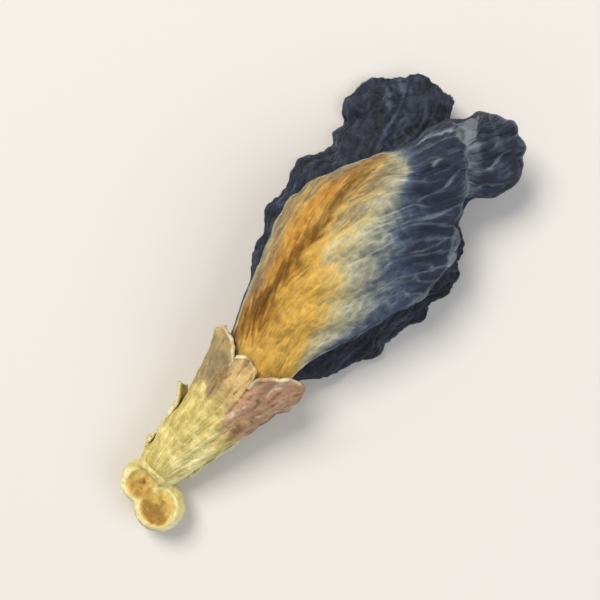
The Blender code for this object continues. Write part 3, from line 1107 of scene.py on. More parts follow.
@dataclass
class StandardPetal:
    """The large petal, folded along its midrib over everything else."""

    claw: tuple[Arch, ...] = (
        Arch(10.4, 0.98, 3.2, 1.34, 1.34, -22.0, 202.0),
        Arch(13.4, 1.2, 3.85, 2.45, 2.4, -14.0, 194.0),
    )
    folds: tuple[Fold, ...] = (
        Fold(17.0, 5.3, 3.2, -1.3, 6.8, 5.0, 4.8, 1.3, 1.2),
        Fold(20.0, 6.35, 4.0, -2.4, 7.4, 5.3, 5.1, 2.6, 2.6),
        Fold(23.2, 7.5, 4.6, -3.2, 7.8, 5.4, 5.2, 3.6, 3.4),
        Fold(26.2, 7.35, 4.9, -3.9, 7.9, 5.4, 5.2, 3.6, 3.6),
        Fold(29.2, 6.2, 4.5, -3.4, 7.6, 5.3, 5.0, 2.6, 3.0, 0.0, 0.0, 0.3),
        Fold(31.8, 4.7, 3.2, -1.9, 7.1, 5.0, 4.7, 1.5, 2.2, 0.0, 0.4, 0.1),
        Fold(34.2, 3.9, 2.2, -1.5, 7.0, 4.6, 4.3, 1.2, 1.4, 0.0, 1.2, 0.0),
        Fold(35.3, 3.3, 1.6, -2.5, 5.8, 4.4, 4.0, 1.1, 1.2, 0.1, 1.0, 0.0),
        Fold(36.5, 2.8, 1.2, -2.9, 5.9, 4.2, 3.8, 1.1, 1.1, 0.8, 0.4, 0.0),
        Fold(37.2, 2.55, 0.9, -2.6, 5.2, 3.9, 3.6, 1.1, 1.1, 1.3, 0.35, 0.0),
    )
    fold_radius: float = 0.75
    crown: float = 0.3
    samples: tuple[int, int] = (292, 160)
    thickness: float = 0.2
    # How much of the samples each step between the guide columns gets, and the midrib's column
    across_lengths: tuple[float, ...] = (
        0.5, 0.42, 0.45, 1.1, 1.7, 1.25, 1.5, 1.9, 2.1, 1.9, 1.1, 0.45, 0.42, 0.5,
    )
    midrib_place: float = 6.0
    # Angles of the veins at the midrib and 8 mm from it, and how far apart the veins, the fine veins
    # and the barbs of the midrib are. Real ones are under 0.05 mm wide, less than a pixel of the
    # render, so their lines are drawn 0.1 to 0.3 mm wide, as they need it to show
    vein_angles: tuple[float, float] = (17.0, 36.0)
    vein_mm: float = 0.85
    fine_vein_mm: float = 0.31
    barb_mm: float = 0.75
    # Heights of the broad folds, the dried crumples and crepe, the veins and the midrib's groove
    fold_height: float = 0.1
    crumple_height: float = 0.26
    crepe_height: float = 0.11
    vein_height: float = 0.05
    fine_vein_height: float = 0.02
    pucker_height: float = 0.03
    groove_depth: float = 0.18
    # Lines seen from above, as x and y: where the yellow starts to pale, where the blue begins, the
    # brown midrib and the left edge
    yellow_limit: tuple[PlanPoint, ...] = (
        (11.0, -3.0), (13.0, -2.4), (15.5, -1.2), (17.0, -0.75), (18.5, -0.35), (20.0, 0.1),
        (21.5, 0.9), (23.0, 2.1), (24.5, 3.6), (26.0, 4.1), (27.5, 4.1), (29.0, 4.4), (30.5, 4.9),
        (33.0, 5.3),
    )
    blue_limit: tuple[PlanPoint, ...] = (
        (11.0, -3.8), (13.0, -3.1), (15.5, -1.9), (17.0, -1.5), (18.5, -1.55), (20.0, -1.85),
        (21.5, -2.0), (23.0, -1.45), (24.5, -0.9), (26.0, 0.25), (27.5, 1.25), (29.0, 1.8),
        (30.5, 2.5), (33.0, 4.0),
    )
    midrib: tuple[PlanPoint, ...] = (
        (11.0, 2.6), (13.0, 3.3), (16.1, 4.0), (19.4, 4.3), (23.0, 4.8), (26.8, 5.3), (29.4, 5.4),
        (30.9, 5.0), (33.0, 4.5),
    )
    left_edge: tuple[PlanPoint, ...] = (
        (13.0, 4.2), (14.5, 4.6), (17.9, 5.5), (21.1, 6.7), (22.7, 7.5), (24.5, 7.7), (26.4, 7.4),
        (29.5, 6.2), (31.8, 4.8),
    )
    # Patches seen from above: brown by the midrib, with painted shade in the one by the claw, dull
    # and bright in the yellow, and painted shade in the blue
    brown_and_shade_patches: tuple[Patch, ...] = (Patch(16.6, 3.5, 1.9, 1.3), Patch(20.2, 3.95, 1.3, 0.5, 0.9))
    dull: tuple[Patch, ...] = (Patch(21.6, 2.0, 0.9, 0.6, 0.5),)
    bright: tuple[Patch, ...] = (Patch(23.1, 3.05, 1.3, 0.6, 0.5),)
    painted_shade_in_blue: tuple[Patch, ...] = (Patch(31.2, 1.7, 1.4, 1.2, 1.0), Patch(28.2, -1.0, 3.4, 1.3, 0.3))
    # The crest where the tip folds over and the lines round it
    crest: Crease = Crease(
        ((32.3, -1.5), (33.3, -0.8), (34.2, 0.05), (35.2, 1.3), (35.9, 2.2), (36.4, 2.75)),
        0.3,
        0.24,
        1.0,
    )
    creases: tuple[Crease, ...] = (
        Crease(((26.4, -4.1), (28.1, -3.7), (30.3, -2.3), (32.3, -1.5)), 0.12, 0.26, 0.7),
        Crease(((31.2, 5.1), (33.3, 4.35), (35.3, 3.2), (36.4, 2.6)), 0.14, 0.2, 0.9),
        Crease(((35.9, 1.5), (36.5, 2.05), (37.0, 2.35), (37.5, 2.5)), 0.4, 0.2, 1.3),
        Crease(((36.2, 1.1), (36.8, 1.5), (37.4, 1.7)), -0.4, 0.26, 0.0),
        Crease(((34.15, -0.1), (35.2, -0.9), (36.3, -1.0), (37.3, -0.9)), 0.24, 0.22, 0.8),
        Crease(((33.1, -1.1), (34.3, -1.5), (35.3, -2.5)), 0.2, 0.2, 0.7),
        Crease(((35.1, 0.7), (36.2, 0.1), (37.5, 0.35)), 0.12, 0.24, 0.4),
        Crease(((31.1, 4.3), (32.6, 3.7), (34.1, 3.2), (35.5, 2.4)), 0.14, 0.2, 0.5),
        Crease(((32.2, 2.35), (33.6, 2.2), (34.9, 1.6)), 0.14, 0.24, 0.6),
        Crease(((31.6, 3.2), (32.9, 2.7), (33.9, 2.0)), 0.12, 0.2, 0.4),
        Crease(((29.6, 1.35), (31.3, 0.75), (33.2, 0.35), (34.4, 0.2)), 0.14, 0.2, 0.6),
        Crease(((28.2, 0.95), (30.2, -0.4), (31.5, -1.0), (32.4, -1.3)), 0.14, 0.22, 0.7),
        Crease(((30.8, 2.1), (32.3, 1.5), (33.7, 1.2)), 0.12, 0.2, 0.4),
        Crease(((26.0, -0.2), (28.0, -1.5), (29.8, -2.3)), 0.08, 0.13, 0.6),
        Crease(((24.6, -1.1), (26.2, -2.2), (27.6, -3.1)), 0.08, 0.13, 0.5),
    )

    def _tucked(
        self, edge: float, height: float, tuck: float, inwards: float
    ) -> tuple[PlanPoint, ...]:
        """The tucked margin's guide points from its fold to its end.

        Args:
            edge: Where the fold lies, as y.
            height: The fold's height.
            tuck: How far the margin reaches back under.
            inwards: The sign of y that leads back under the petal.

        Returns:
            Four points as y and z.
        """
        low = height - self.fold_radius
        short = min(max((2.6 - tuck) / 1.6, 0.0), 1.0)
        turn = (1.0 - short) * min(0.8 * self.fold_radius, 0.28 * tuck) + short * 0.12 * tuck
        return (
            (edge, height),
            (edge + inwards * turn, low + 0.3 * short),
            (edge + inwards * 0.55 * tuck, low + 0.06 * short),
            (edge + inwards * tuck, low + 0.25 * (1.0 - short)),
        )

    def _fold_row(self, fold: Fold) -> list[Point]:
        """The guide points of one folded cross section.

        Args:
            fold: The cross section.

        Returns:
            The points, from the left margin to the right one.
        """
        left_span = fold.left - fold.midrib
        right_span = fold.midrib - fold.right
        section = (
            *reversed(self._tucked(fold.left, fold.left_z, fold.left_tuck, -1.0)),
            (fold.left - 0.18 * left_span, fold.left_z + 0.4 * (fold.top - fold.left_z)),
            (fold.midrib + 0.4 * left_span, fold.top - 0.3),
            (fold.midrib, fold.top - fold.groove),
            (fold.midrib - 0.17 * right_span, fold.top + self.crown),
            (fold.midrib - 0.42 * right_span, fold.top + 0.1),
            (fold.midrib - 0.68 * right_span, fold.top - 0.3 * (fold.top - fold.right_z)),
            (fold.midrib - 0.9 * right_span, fold.right_z + 0.95 * self.fold_radius),
            *self._tucked(fold.right, fold.right_z, fold.right_tuck, 1.0),
        )
        centre = 0.5 * (fold.left + fold.right)
        half = 0.5 * (fold.left - fold.right)
        row = []
        for column, (y, z) in enumerate(section):
            folded_under = column < 3 or column > len(section) - 4
            side = (y - centre) / half
            if folded_under:
                side = math.copysign(1.0, len(section) / 2 - column)
            row.append((fold.x + fold.bow * (1.0 - side**2) + fold.lead * side, y, z))
        return row

    def _sheet(self) -> PetalSheet:
        """The middle surface through all the guide points.

        Returns:
            The surface, with where each of its points lies.
        """
        columns = len(self.across_lengths) + 1
        rows = [arch_row(arch, columns) for arch in self.claw]
        rows += [self._fold_row(fold) for fold in self.folds]
        xs = [arch.x for arch in self.claw] + [fold.x for fold in self.folds]
        along_lengths = [0.45 * (xs[1] - xs[0]), *np.maximum(np.diff(xs)[1:], 1.3)]
        across_places = spread_places(self.across_lengths, self.samples[1])
        points = surface_through(rows, spread_places(along_lengths, self.samples[0]), across_places)
        along, across = arc_lengths(points, 0), arc_lengths(points, 1)
        across = across[:, [int(np.argmin(np.abs(across_places - self.midrib_place)))]] - across
        place = np.broadcast_to(across_places[None, :], along.shape)
        veins = vein_places(points[..., 0] - 10.0, across, *self.vein_angles)
        return PetalSheet(points, place, along, across, along[[-1], :] - along, veins)

    def _pleats(self, sheet: PetalSheet) -> np.ndarray:
        """The broad pleats, ruffles and wavy folds, drawn like the solid's.

        Args:
            sheet: The middle surface.

        Returns:
            A height at each point.
        """
        points, place, x = sheet.points, sheet.place, sheet.x
        upper = plateau(place, (5.2, 7.2), (8.8, 10.6))
        phase = (sheet.along - 0.9 * np.abs(sheet.across)) / 3.4 + 0.25 * soft_noise(points / 4.0, 1)
        pleats = 0.22 * upper * smooth_step(15.0, 21.0, x) * np.sin(2 * math.pi * phase)
        ruffle = 0.2 * (0.2 + 0.8 * upper) * soft_noise(points / 2.8, 2)
        at_fold = np.maximum(hump(place, 3.2, 0.9), hump(place, 10.8, 0.9))
        ripple = 0.3 * at_fold * soft_noise(np.stack([sheet.along / 1.1, place / 2.0], axis=-1), 19)
        return pleats + (ruffle + ripple) * smooth_step(16.0, 22.0, x)

    def _fade(self, sheet: PetalSheet) -> np.ndarray:
        """How yellow the petal is: 0 at the limit of the blue and 1 where the full yellow starts.

        Args:
            sheet: The middle surface.

        Returns:
            The fade, below 0 in the blue and above 1 in the yellow.
        """
        x, y, veins = sheet.x, sheet.y, sheet.veins
        blue, yellow = line_at(x, self.blue_limit), line_at(x, self.yellow_limit)
        fade = (y - blue) / (yellow - blue)
        to_left = 0.8 + 0.9 * (line_at(x, self.left_edge) - y)
        to_end = (31.8 - x - 0.35 * np.abs(y - 4.7)) / 1.2
        fade = np.minimum(np.minimum(fade, to_left), to_end)
        under = sheet.place + 0.35 * soft_noise(veins / (1.4, 1.0), 24)
        fade = np.minimum(fade, 1.8) - 3.0 * smooth_step(3.3, 2.4, under)
        return fade + 0.2 * soft_noise(veins / (2.2, 0.9), 2)

    def _zones(self, sheet: PetalSheet, crumple: np.ndarray, crepe: np.ndarray) -> Zones:
        """Where the petal faces up, is yellow, is blue and has its midrib.

        Args:
            sheet: The middle surface.
            crumple: Its dried crumples, from 0 to 1.
            crepe: Its fine crepe, from 0 to 1.

        Returns:
            The zones.
        """
        x, y = sheet.x, sheet.y
        top = plateau(sheet.place, (2.6, 3.5), (10.9, 11.6))
        fade = self._fade(sheet) + 0.45 * (crumple - 0.5) + 0.3 * (crepe - 0.5)
        # Painted shade darkens the blue before the crest and along the right side
        fade -= patched(x, y, self.painted_shade_in_blue)
        yellow = smooth_step(0.3, 1.1, fade)
        blue = 1.0 - smooth_step(-0.4, 0.5, fade)
        ribbed = plateau(x, (12.5, 15.5), (30.0, 31.5)) * top
        return Zones(top, fade, yellow, blue, y - line_at(x, self.midrib), ribbed)

    def _creased(self, sheet: PetalSheet, crumple: np.ndarray) -> tuple[np.ndarray, ...]:
        """The crest where the tip folds over, the creases round it and their pale lines, partly
        painted highlights.

        Args:
            sheet: The middle surface.
            crumple: Its dried crumples, from 0 to 1.

        Returns:
            Their height, their painted shade and highlights, and how pale they are, at each point.
        """
        x, y, place = sheet.x, sheet.y, sheet.place
        beyond, on_crest = line_distance(x, y, self.crest.points)
        facing = plateau(place, (3.2, 3.6), (10.7, 11.3))
        behind = smooth_step(0.0, 0.5, beyond) * smooth_step(2.2, 0.9, beyond)
        behind *= smooth_step(0.15, 0.3, on_crest)
        # The hollow behind the crest is sunk and gets painted shade
        height, painted_relief_shade, pale = -0.3 * behind * facing, -0.08 * behind, np.zeros_like(x)
        wobble = 1.0 + 0.35 * soft_noise(np.stack([x, y], axis=-1) / 0.7, 21)
        for crease in (self.crest, *self.creases):
            off, share = line_distance(x, y, crease.points)
            ends = plateau(share, (0.0, 0.1), (0.9, 1.0))
            raised = hump(off, 0.0, crease.width) * (0.35 + 0.65 * ends) * facing * wobble
            height += crease.height * raised
            painted_relief_shade += 0.5 * crease.height * raised
            pale = np.maximum(pale, crease.pale * raised)
        # Paler near the crest and on the crumples' crests as a painted highlight, and paler in colour
        # towards the tip
        crest_highlight_and_paler_tip = 0.5 * smooth_step(1.3, 0.2, np.abs(beyond)) + 0.3 * smooth_step(34.0, 36.0, x)
        crest_highlight_and_paler_tip *= smooth_step(30.0, 32.5, x) * facing * (0.4 + 0.9 * smooth_step(0.2, 0.8, crumple))
        return height, painted_relief_shade, np.maximum(pale, crest_highlight_and_paler_tip)

    def _dulled(self, sheet: PetalSheet, zones: Zones) -> np.ndarray:
        """Where the yellow is dulled: at the left margin and by the claw, partly as painted shade,
        beside the midrib and in the dull patch.

        Args:
            sheet: The middle surface.
            zones: Its zones.

        Returns:
            How dull each point is.
        """
        x, y = sheet.x, sheet.y
        margin = smooth_step(1.6, 0.2, line_at(x, self.left_edge) - y) * smooth_step(15.0, 18.0, x)
        at_claw = 0.6 * smooth_step(17.5, 15.0, x + 0.8 * np.abs(y - 4.6))
        muddy = hump(zones.off_midrib, -1.2, 1.0) * smooth_step(22.5, 26.0, x) * zones.top
        muddy *= smooth_step(0.2, 0.8, zones.fade)
        dulled = np.maximum(np.maximum(margin * zones.yellow, at_claw), 0.85 * muddy)
        return np.maximum(dulled, patched(x, y, self.dull) * zones.top)

    def build(self) -> bpy.types.Object:
        """Builds the petal.

        Returns:
            The petal.
        """
        sheet = self._sheet()
        points, veins, x, y = sheet.points, sheet.veins, sheet.x, sheet.y
        bent, crumple, crepe = dried_creases(veins, points, 15)
        zones = self._zones(sheet, crumple, crepe)
        top, fade, yellow, blue, off_midrib, ribbed = zones

        # The brown midrib with its barbs, and painted highlights on the lines beside it. A number
        # that is added to the vein places keeps two sets of lines from falling on each other
        wander = 0.2 * soft_noise(points / 0.9, 23)
        groove = hump(off_midrib + wander, 0.0, 0.34) * ribbed
        # Brown by the midrib, darkened near the claw as painted shade
        brown_and_shade_cover = patched(x, y + 0.25 * soft_noise(points / 0.9, 26), self.brown_and_shade_patches) * top
        barbs = vein_lines(bent + 1.3, self.barb_mm, 0.16, 27)
        barbs *= hump(off_midrib, 0.0, 1.6) * ribbed * yellow
        gleam = vein_lines(bent + 1.68, self.barb_mm, 0.13, 27)
        gleam *= hump(off_midrib, -1.4, 1.0) * smooth_step(18.0, 21.0, x) * top

        # The veins and their net, and everything that stands up from the sheet or sinks into it
        tip = smooth_step(30.0, 32.5, x)
        puckers = soft_noise(veins / (0.5, 0.9), 8)
        net = cell_lines(bent / (2.1, 1.1), 7, 0.2) * (0.15 + 0.3 * tip)
        lines = np.maximum(vein_lines(bent, self.vein_mm, 0.15, 11) * (1.0 - 0.75 * tip), net * blue)
        fine_lines = vein_lines(veins + 3.7, self.fine_vein_mm, 0.05, 13) * (0.35 + 0.45 * yellow)
        raised, crest_painted_shade, pale = self._creased(sheet, crumple)
        painted_relief_shade = 0.15 * crumple + 0.12 * crepe + 0.04 * lines - 0.08 * groove + crest_painted_shade
        height = (
            self.crumple_height * crumple
            + self.crepe_height * crepe
            + self.vein_height * lines
            + self.fine_vein_height * fine_lines
            + self.pucker_height * puckers
            + self.fold_height * ridges(veins / (5.5, 1.3), 6, 1.1)
            - self.groove_depth * groove
            + raised
        )
        fade_in = smooth_step(12.5, 16.5, x) * (0.25 + 0.75 * smooth_step(0.0, 0.5, sheet.to_end))
        height = self._pleats(sheet) + height * (0.35 + 0.65 * top) * fade_in
        points = points + grid_normals(points) * height[..., None]

        # What the finish reads
        cream = plateau(fade, (-0.5, 0.2), (0.6, 1.1)) * top
        pale_spots = smooth_step(0.0, 0.5, soft_noise(veins / (1.6, 1.0), 17)) * yellow
        warm_spots = 0.4 * smooth_step(0.0, 0.4, soft_noise(points / 1.1, 18))
        warm = np.maximum(hump(off_midrib, 0.95, 0.8) * ribbed, warm_spots)
        thin_lines = np.maximum(0.75 * lines, 0.8 * fine_lines) * cream
        # Paler rims where the margins roll over at both folds, along the creases and at the tip's
        # end: painted highlights
        rim = hump(sheet.place, 10.8, 0.35) * plateau(x, (23.0, 25.5), (30.0, 32.0))
        rim = np.maximum(rim, 0.4 * hump(sheet.place, 3.1, 0.3) * smooth_step(16.0, 21.0, x))
        rim = np.maximum(np.maximum(rim, pale), 0.8 * smooth_step(0.3, 0.0, sheet.to_end))
        # The brown midrib, its barbs and the patches, with painted shade near the claw
        brown_and_shade_marks = np.maximum(groove * (1.0 - 0.3 * smooth_step(22.0, 26.0, x)), 0.95 * brown_and_shade_cover)
        brown_and_shade_marks = brown_and_shade_marks * (0.8 + 0.3 * smooth_step(0.7, 0.2, crumple)) + 0.75 * barbs
        bright = patched(x, y, self.bright)
        marks = {
            Mark.SHEET: sheet_marks(veins),
            Mark.PAINTED_RELIEF_SHADE: level_out(painted_relief_shade) + bright,
            Mark.FADE: (fade + 1.0) / 3.0 - 0.2 * bright,
            Mark.LINES: lines * blue,
            Mark.EDGE: rim * (1.0 - 0.6 * yellow),
            # Pale veins and spots, with the painted highlights beside the midrib
            Mark.ASH: thin_lines + 0.25 * pale_spots + 0.5 * gleam,
            Mark.WARM: (warm + 0.3 * lines) * yellow,
            Mark.BLUSH: self._dulled(sheet, zones) * (0.75 + 0.4 * puckers),
            Mark.GROOVE: brown_and_shade_marks,
        }
        piece = make_sheet("standard_petal_sheet", points, marks, self.thickness)
        dress(piece, STANDARD_TISSUE, "standard", "standard_petal")
        return piece


@dataclass
class WingPetal:
    """One of the two dark petals under the standard."""

    side: Side
    stations: tuple[Station, ...]
    seed: int
    samples: tuple[int, int] = (260, 96)
    thickness: float = 0.18
    # The wings' veins are drawn wider than real ones, as the large petal's are, so that they show
    vein_angles: tuple[float, float] = (16.0, 34.0)
    vein_mm: float = 0.7
    crumple_height: float = 0.38
    crepe_height: float = 0.18
    vein_height: float = 0.05
    # How far the tip frays along the flower and the free edge across it
    frayed: tuple[float, float] = (0.2, 0.16)

    @property
    def node(self) -> str:
        """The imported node's name."""
        return f"wing_{self.side.name.lower()}"

    def _row(self, station: Station) -> list[Point]:
        """The guide points of one cross section.

        Args:
            station: The cross section.

        Returns:
            The points, from the inner top edge out to the free edge.
        """
        row = []
        for share in (0.0, 0.25, 0.5, 0.75, 1.0):
            lift = station.bulge * math.sin(math.pi * share)
            y = station.top_y + share * (station.out_y - station.top_y) + self.side.value * 0.5 * lift
            row.append((station.x, y, station.top_z + share * (station.out_z - station.top_z) + lift))
        return row

    def build(self) -> bpy.types.Object:
        """Builds the petal with its crumpled free edge.

        Returns:
            The petal.
        """
        rows, columns = self.samples
        xs = [station.x for station in self.stations]
        net = [self._row(station) for station in self.stations]
        across_places = spread_places((1.0, 1.0, 1.1, 1.3), columns)
        points = surface_through(net, spread_places(np.diff(xs), rows), across_places)
        u = np.linspace(0.0, 1.0, rows)[:, None]
        v = np.linspace(0.0, 1.0, columns)[None, :]
        x = points[..., 0]
        along, across = arc_lengths(points, 0), arc_lengths(points, 1)
        veins = vein_places(along, -across, *self.vein_angles)
        grown = smooth_step(0.12, 0.45, u) * np.ones_like(v)
        waves = grown * (0.08 + 0.22 * smooth_step(0.4, 1.0, v))
        waves = waves * np.sin(2 * math.pi * (x / 3.6 + 0.5 * soft_noise(points / 3.0, self.seed)))
        bent, crumple, crepe = dried_creases(veins, points, self.seed)
        lines = vein_lines(bent, self.vein_mm, 0.13, self.seed + 30)
        small = self.crumple_height * crumple + self.crepe_height * crepe
        small += 0.03 * soft_noise(points / 0.35, self.seed + 25)
        height = waves + grown * (small + self.vein_height * lines)
        points = points + grid_normals(points) * height[..., None]
        jag = soft_noise(points / 0.9, self.seed + 40)
        jag += 0.5 * soft_noise(points / 0.4, self.seed + 41)
        points[..., 1] += self.frayed[1] * jag * smooth_step(0.85, 1.0, v) * self.side.value
        points[..., 0] += self.frayed[0] * jag * smooth_step(0.94, 1.0, u)
        points[..., 2] = np.maximum(points[..., 2], 0.5 * self.thickness + 0.01)
        free, end = across[:, [-1]] - across, along[[-1], :] - along
        edge = np.maximum(np.exp(-free / 0.14), np.exp(-end / 0.14)) * grown
        # Lighter on the crumples' crests and darker in their hollows: painted highlights and painted
        # shade
        crest = level_out(0.5 * crumple + 0.3 * crepe + 0.15 * lines)
        greyed = smooth_step(-0.2, 0.4, soft_noise(points / 2.5, self.seed + 50))
        veined = smooth_step(-0.1, 0.4, soft_noise(points / 2.0, self.seed + 60))
        marks = {
            Mark.SHEET: sheet_marks(veins),
            Mark.PAINTED_RELIEF_SHADE: level_out(small),
            Mark.FADE: 0.15 + crest * (0.5 + 0.3 * greyed),
            Mark.LINES: lines * (0.3 + 0.7 * veined),
            Mark.EDGE: edge,
        }
        piece = make_sheet(f"{self.node}_sheet", points, marks, self.thickness)
        dress(piece, WING_TISSUE, "wings", self.node)
        return piece


# The cross sections of both wings, from the claw to the tip
LEFT_WING = (
    Station(11.6, 2.4, 2.5, 2.0, 1.95, 0.0),
    Station(14.2, 2.85, 2.75, 3.1, 2.2, 0.0),
    Station(17.0, 3.1, 3.15, 5.0, 1.9, 0.3),
    Station(20.0, 3.15, 3.4, 6.9, 1.3, 0.5),
    Station(23.2, 3.0, 3.8, 8.3, 0.8, 0.7),
    Station(26.4, 3.2, 3.9, 8.8, 0.4, 0.7),
    Station(29.2, 3.4, 3.8, 8.3, 0.35, 0.7),
    Station(31.6, 3.7, 3.3, 9.3, 0.3, 0.6),
    Station(34.0, 3.2, 2.85, 9.9, 0.5, 0.45),
    Station(35.8, 3.6, 2.6, 8.2, 0.9, 0.3),
    Station(37.1, 4.3, 2.4, 6.3, 1.5, 0.15),
)
RIGHT_WING = (
    Station(11.6, -0.4, 2.5, 0.0, 1.95, 0.0),
    Station(14.2, -0.55, 2.75, -0.8, 2.2, 0.0),
    Station(17.0, -0.3, 3.05, -3.0, 1.7, 0.25),
    Station(20.2, 0.3, 3.3, -4.5, 0.9, 0.45),
    Station(23.4, 1.0, 3.55, -4.95, 0.45, 0.55),
    Station(26.8, 1.3, 3.6, -5.1, 0.4, 0.55),
    Station(29.4, 1.0, 3.5, -4.3, 0.8, 0.45),
    Station(31.2, 0.2, 3.2, -2.7, 1.6, 0.2),
)


@dataclass
class Keel:
    """The pale boat-shaped keel under the stamens."""

    rows: tuple[Arch, ...] = (
        Arch(12.4, 1.05, 3.2, 0.8, 1.6, 248.0, 292.0),
        Arch(14.0, 1.2, 3.1, 1.35, 1.75, 230.0, 310.0),
        Arch(15.5, 1.4, 3.0, 1.7, 1.65, 213.0, 327.0),
        Arch(19.0, 1.8, 2.55, 1.7, 1.75, 184.0, 356.0),
        Arch(23.0, 2.1, 2.4, 1.75, 1.7, 176.0, 364.0),
        Arch(26.5, 2.4, 2.35, 1.75, 1.65, 172.0, 368.0),
        Arch(29.2, 2.7, 2.5, 1.6, 1.4, 176.0, 364.0),
        Arch(30.3, 2.85, 2.7, 1.2, 1.1, 180.0, 360.0),
        Arch(30.9, 2.92, 2.85, 0.62, 0.6, 184.0, 356.0),
    )
    samples: tuple[int, int] = (140, 64)
    thickness: float = 0.16
    # The keel's veins are drawn wider than real ones too, as they need it to show
    vein_angles: tuple[float, float] = (14.0, 30.0)
    vein_mm: float = 0.5
    crumple_height: float = 0.1
    crepe_height: float = 0.04
    vein_height: float = 0.03
    seam_depth: float = 0.16

    def build(self) -> bpy.types.Object:
        """Builds the keel.

        Returns:
            The keel.
        """
        along_places = spread_places(np.diff([arch.x for arch in self.rows]), self.samples[0])
        across_places = np.linspace(0.0, 6.0, self.samples[1])
        net = [arch_row(arch, 7) for arch in self.rows]
        points = surface_through(net, along_places, across_places)
        across = arc_lengths(points, 1)
        seam = across[:, [self.samples[1] // 2]] - across
        veins = vein_places(points[..., 0] - 12.0, seam, *self.vein_angles)
        lines = vein_lines(veins, self.vein_mm, 0.08, 61)
        crumple, crepe = dried_creases(veins, points, 62)[1:]
        height = self.crumple_height * crumple + self.crepe_height * crepe + self.vein_height * lines
        height -= self.seam_depth * hump(seam, 0.0, 0.16)
        points = points + grid_normals(points) * height[..., None]
        points[..., 2] = np.maximum(points[..., 2], 0.5 * self.thickness + 0.01)
        # Lighter on its crests and darker along the sunken seam: painted highlights and painted shade
        crest = level_out(0.6 * crumple + 0.2 * crepe + 0.3 * lines)
        towards_tip = points[..., 0] + 0.6 * np.abs(seam) + 1.5 * (crumple - 0.5)
        marks = {
            Mark.SHEET: sheet_marks(veins),
            Mark.PAINTED_RELIEF_SHADE: level_out(height),
            Mark.FADE: 0.3 + 0.4 * crest - 0.3 * hump(seam, 0.0, 0.2),
            Mark.BLUSH: smooth_step(25.5, 31.5, towards_tip),
        }
        piece = make_sheet("keel_sheet", points, marks, self.thickness)
        dress(piece, KEEL_TISSUE, "keel", "keel")
        return piece


class ScaleRow(NamedTuple):
    """A cross section of a scale: its place, its middle and half angles, and how far out it lies."""

    x: float
    angle: float
    half_angle: float
    out: float


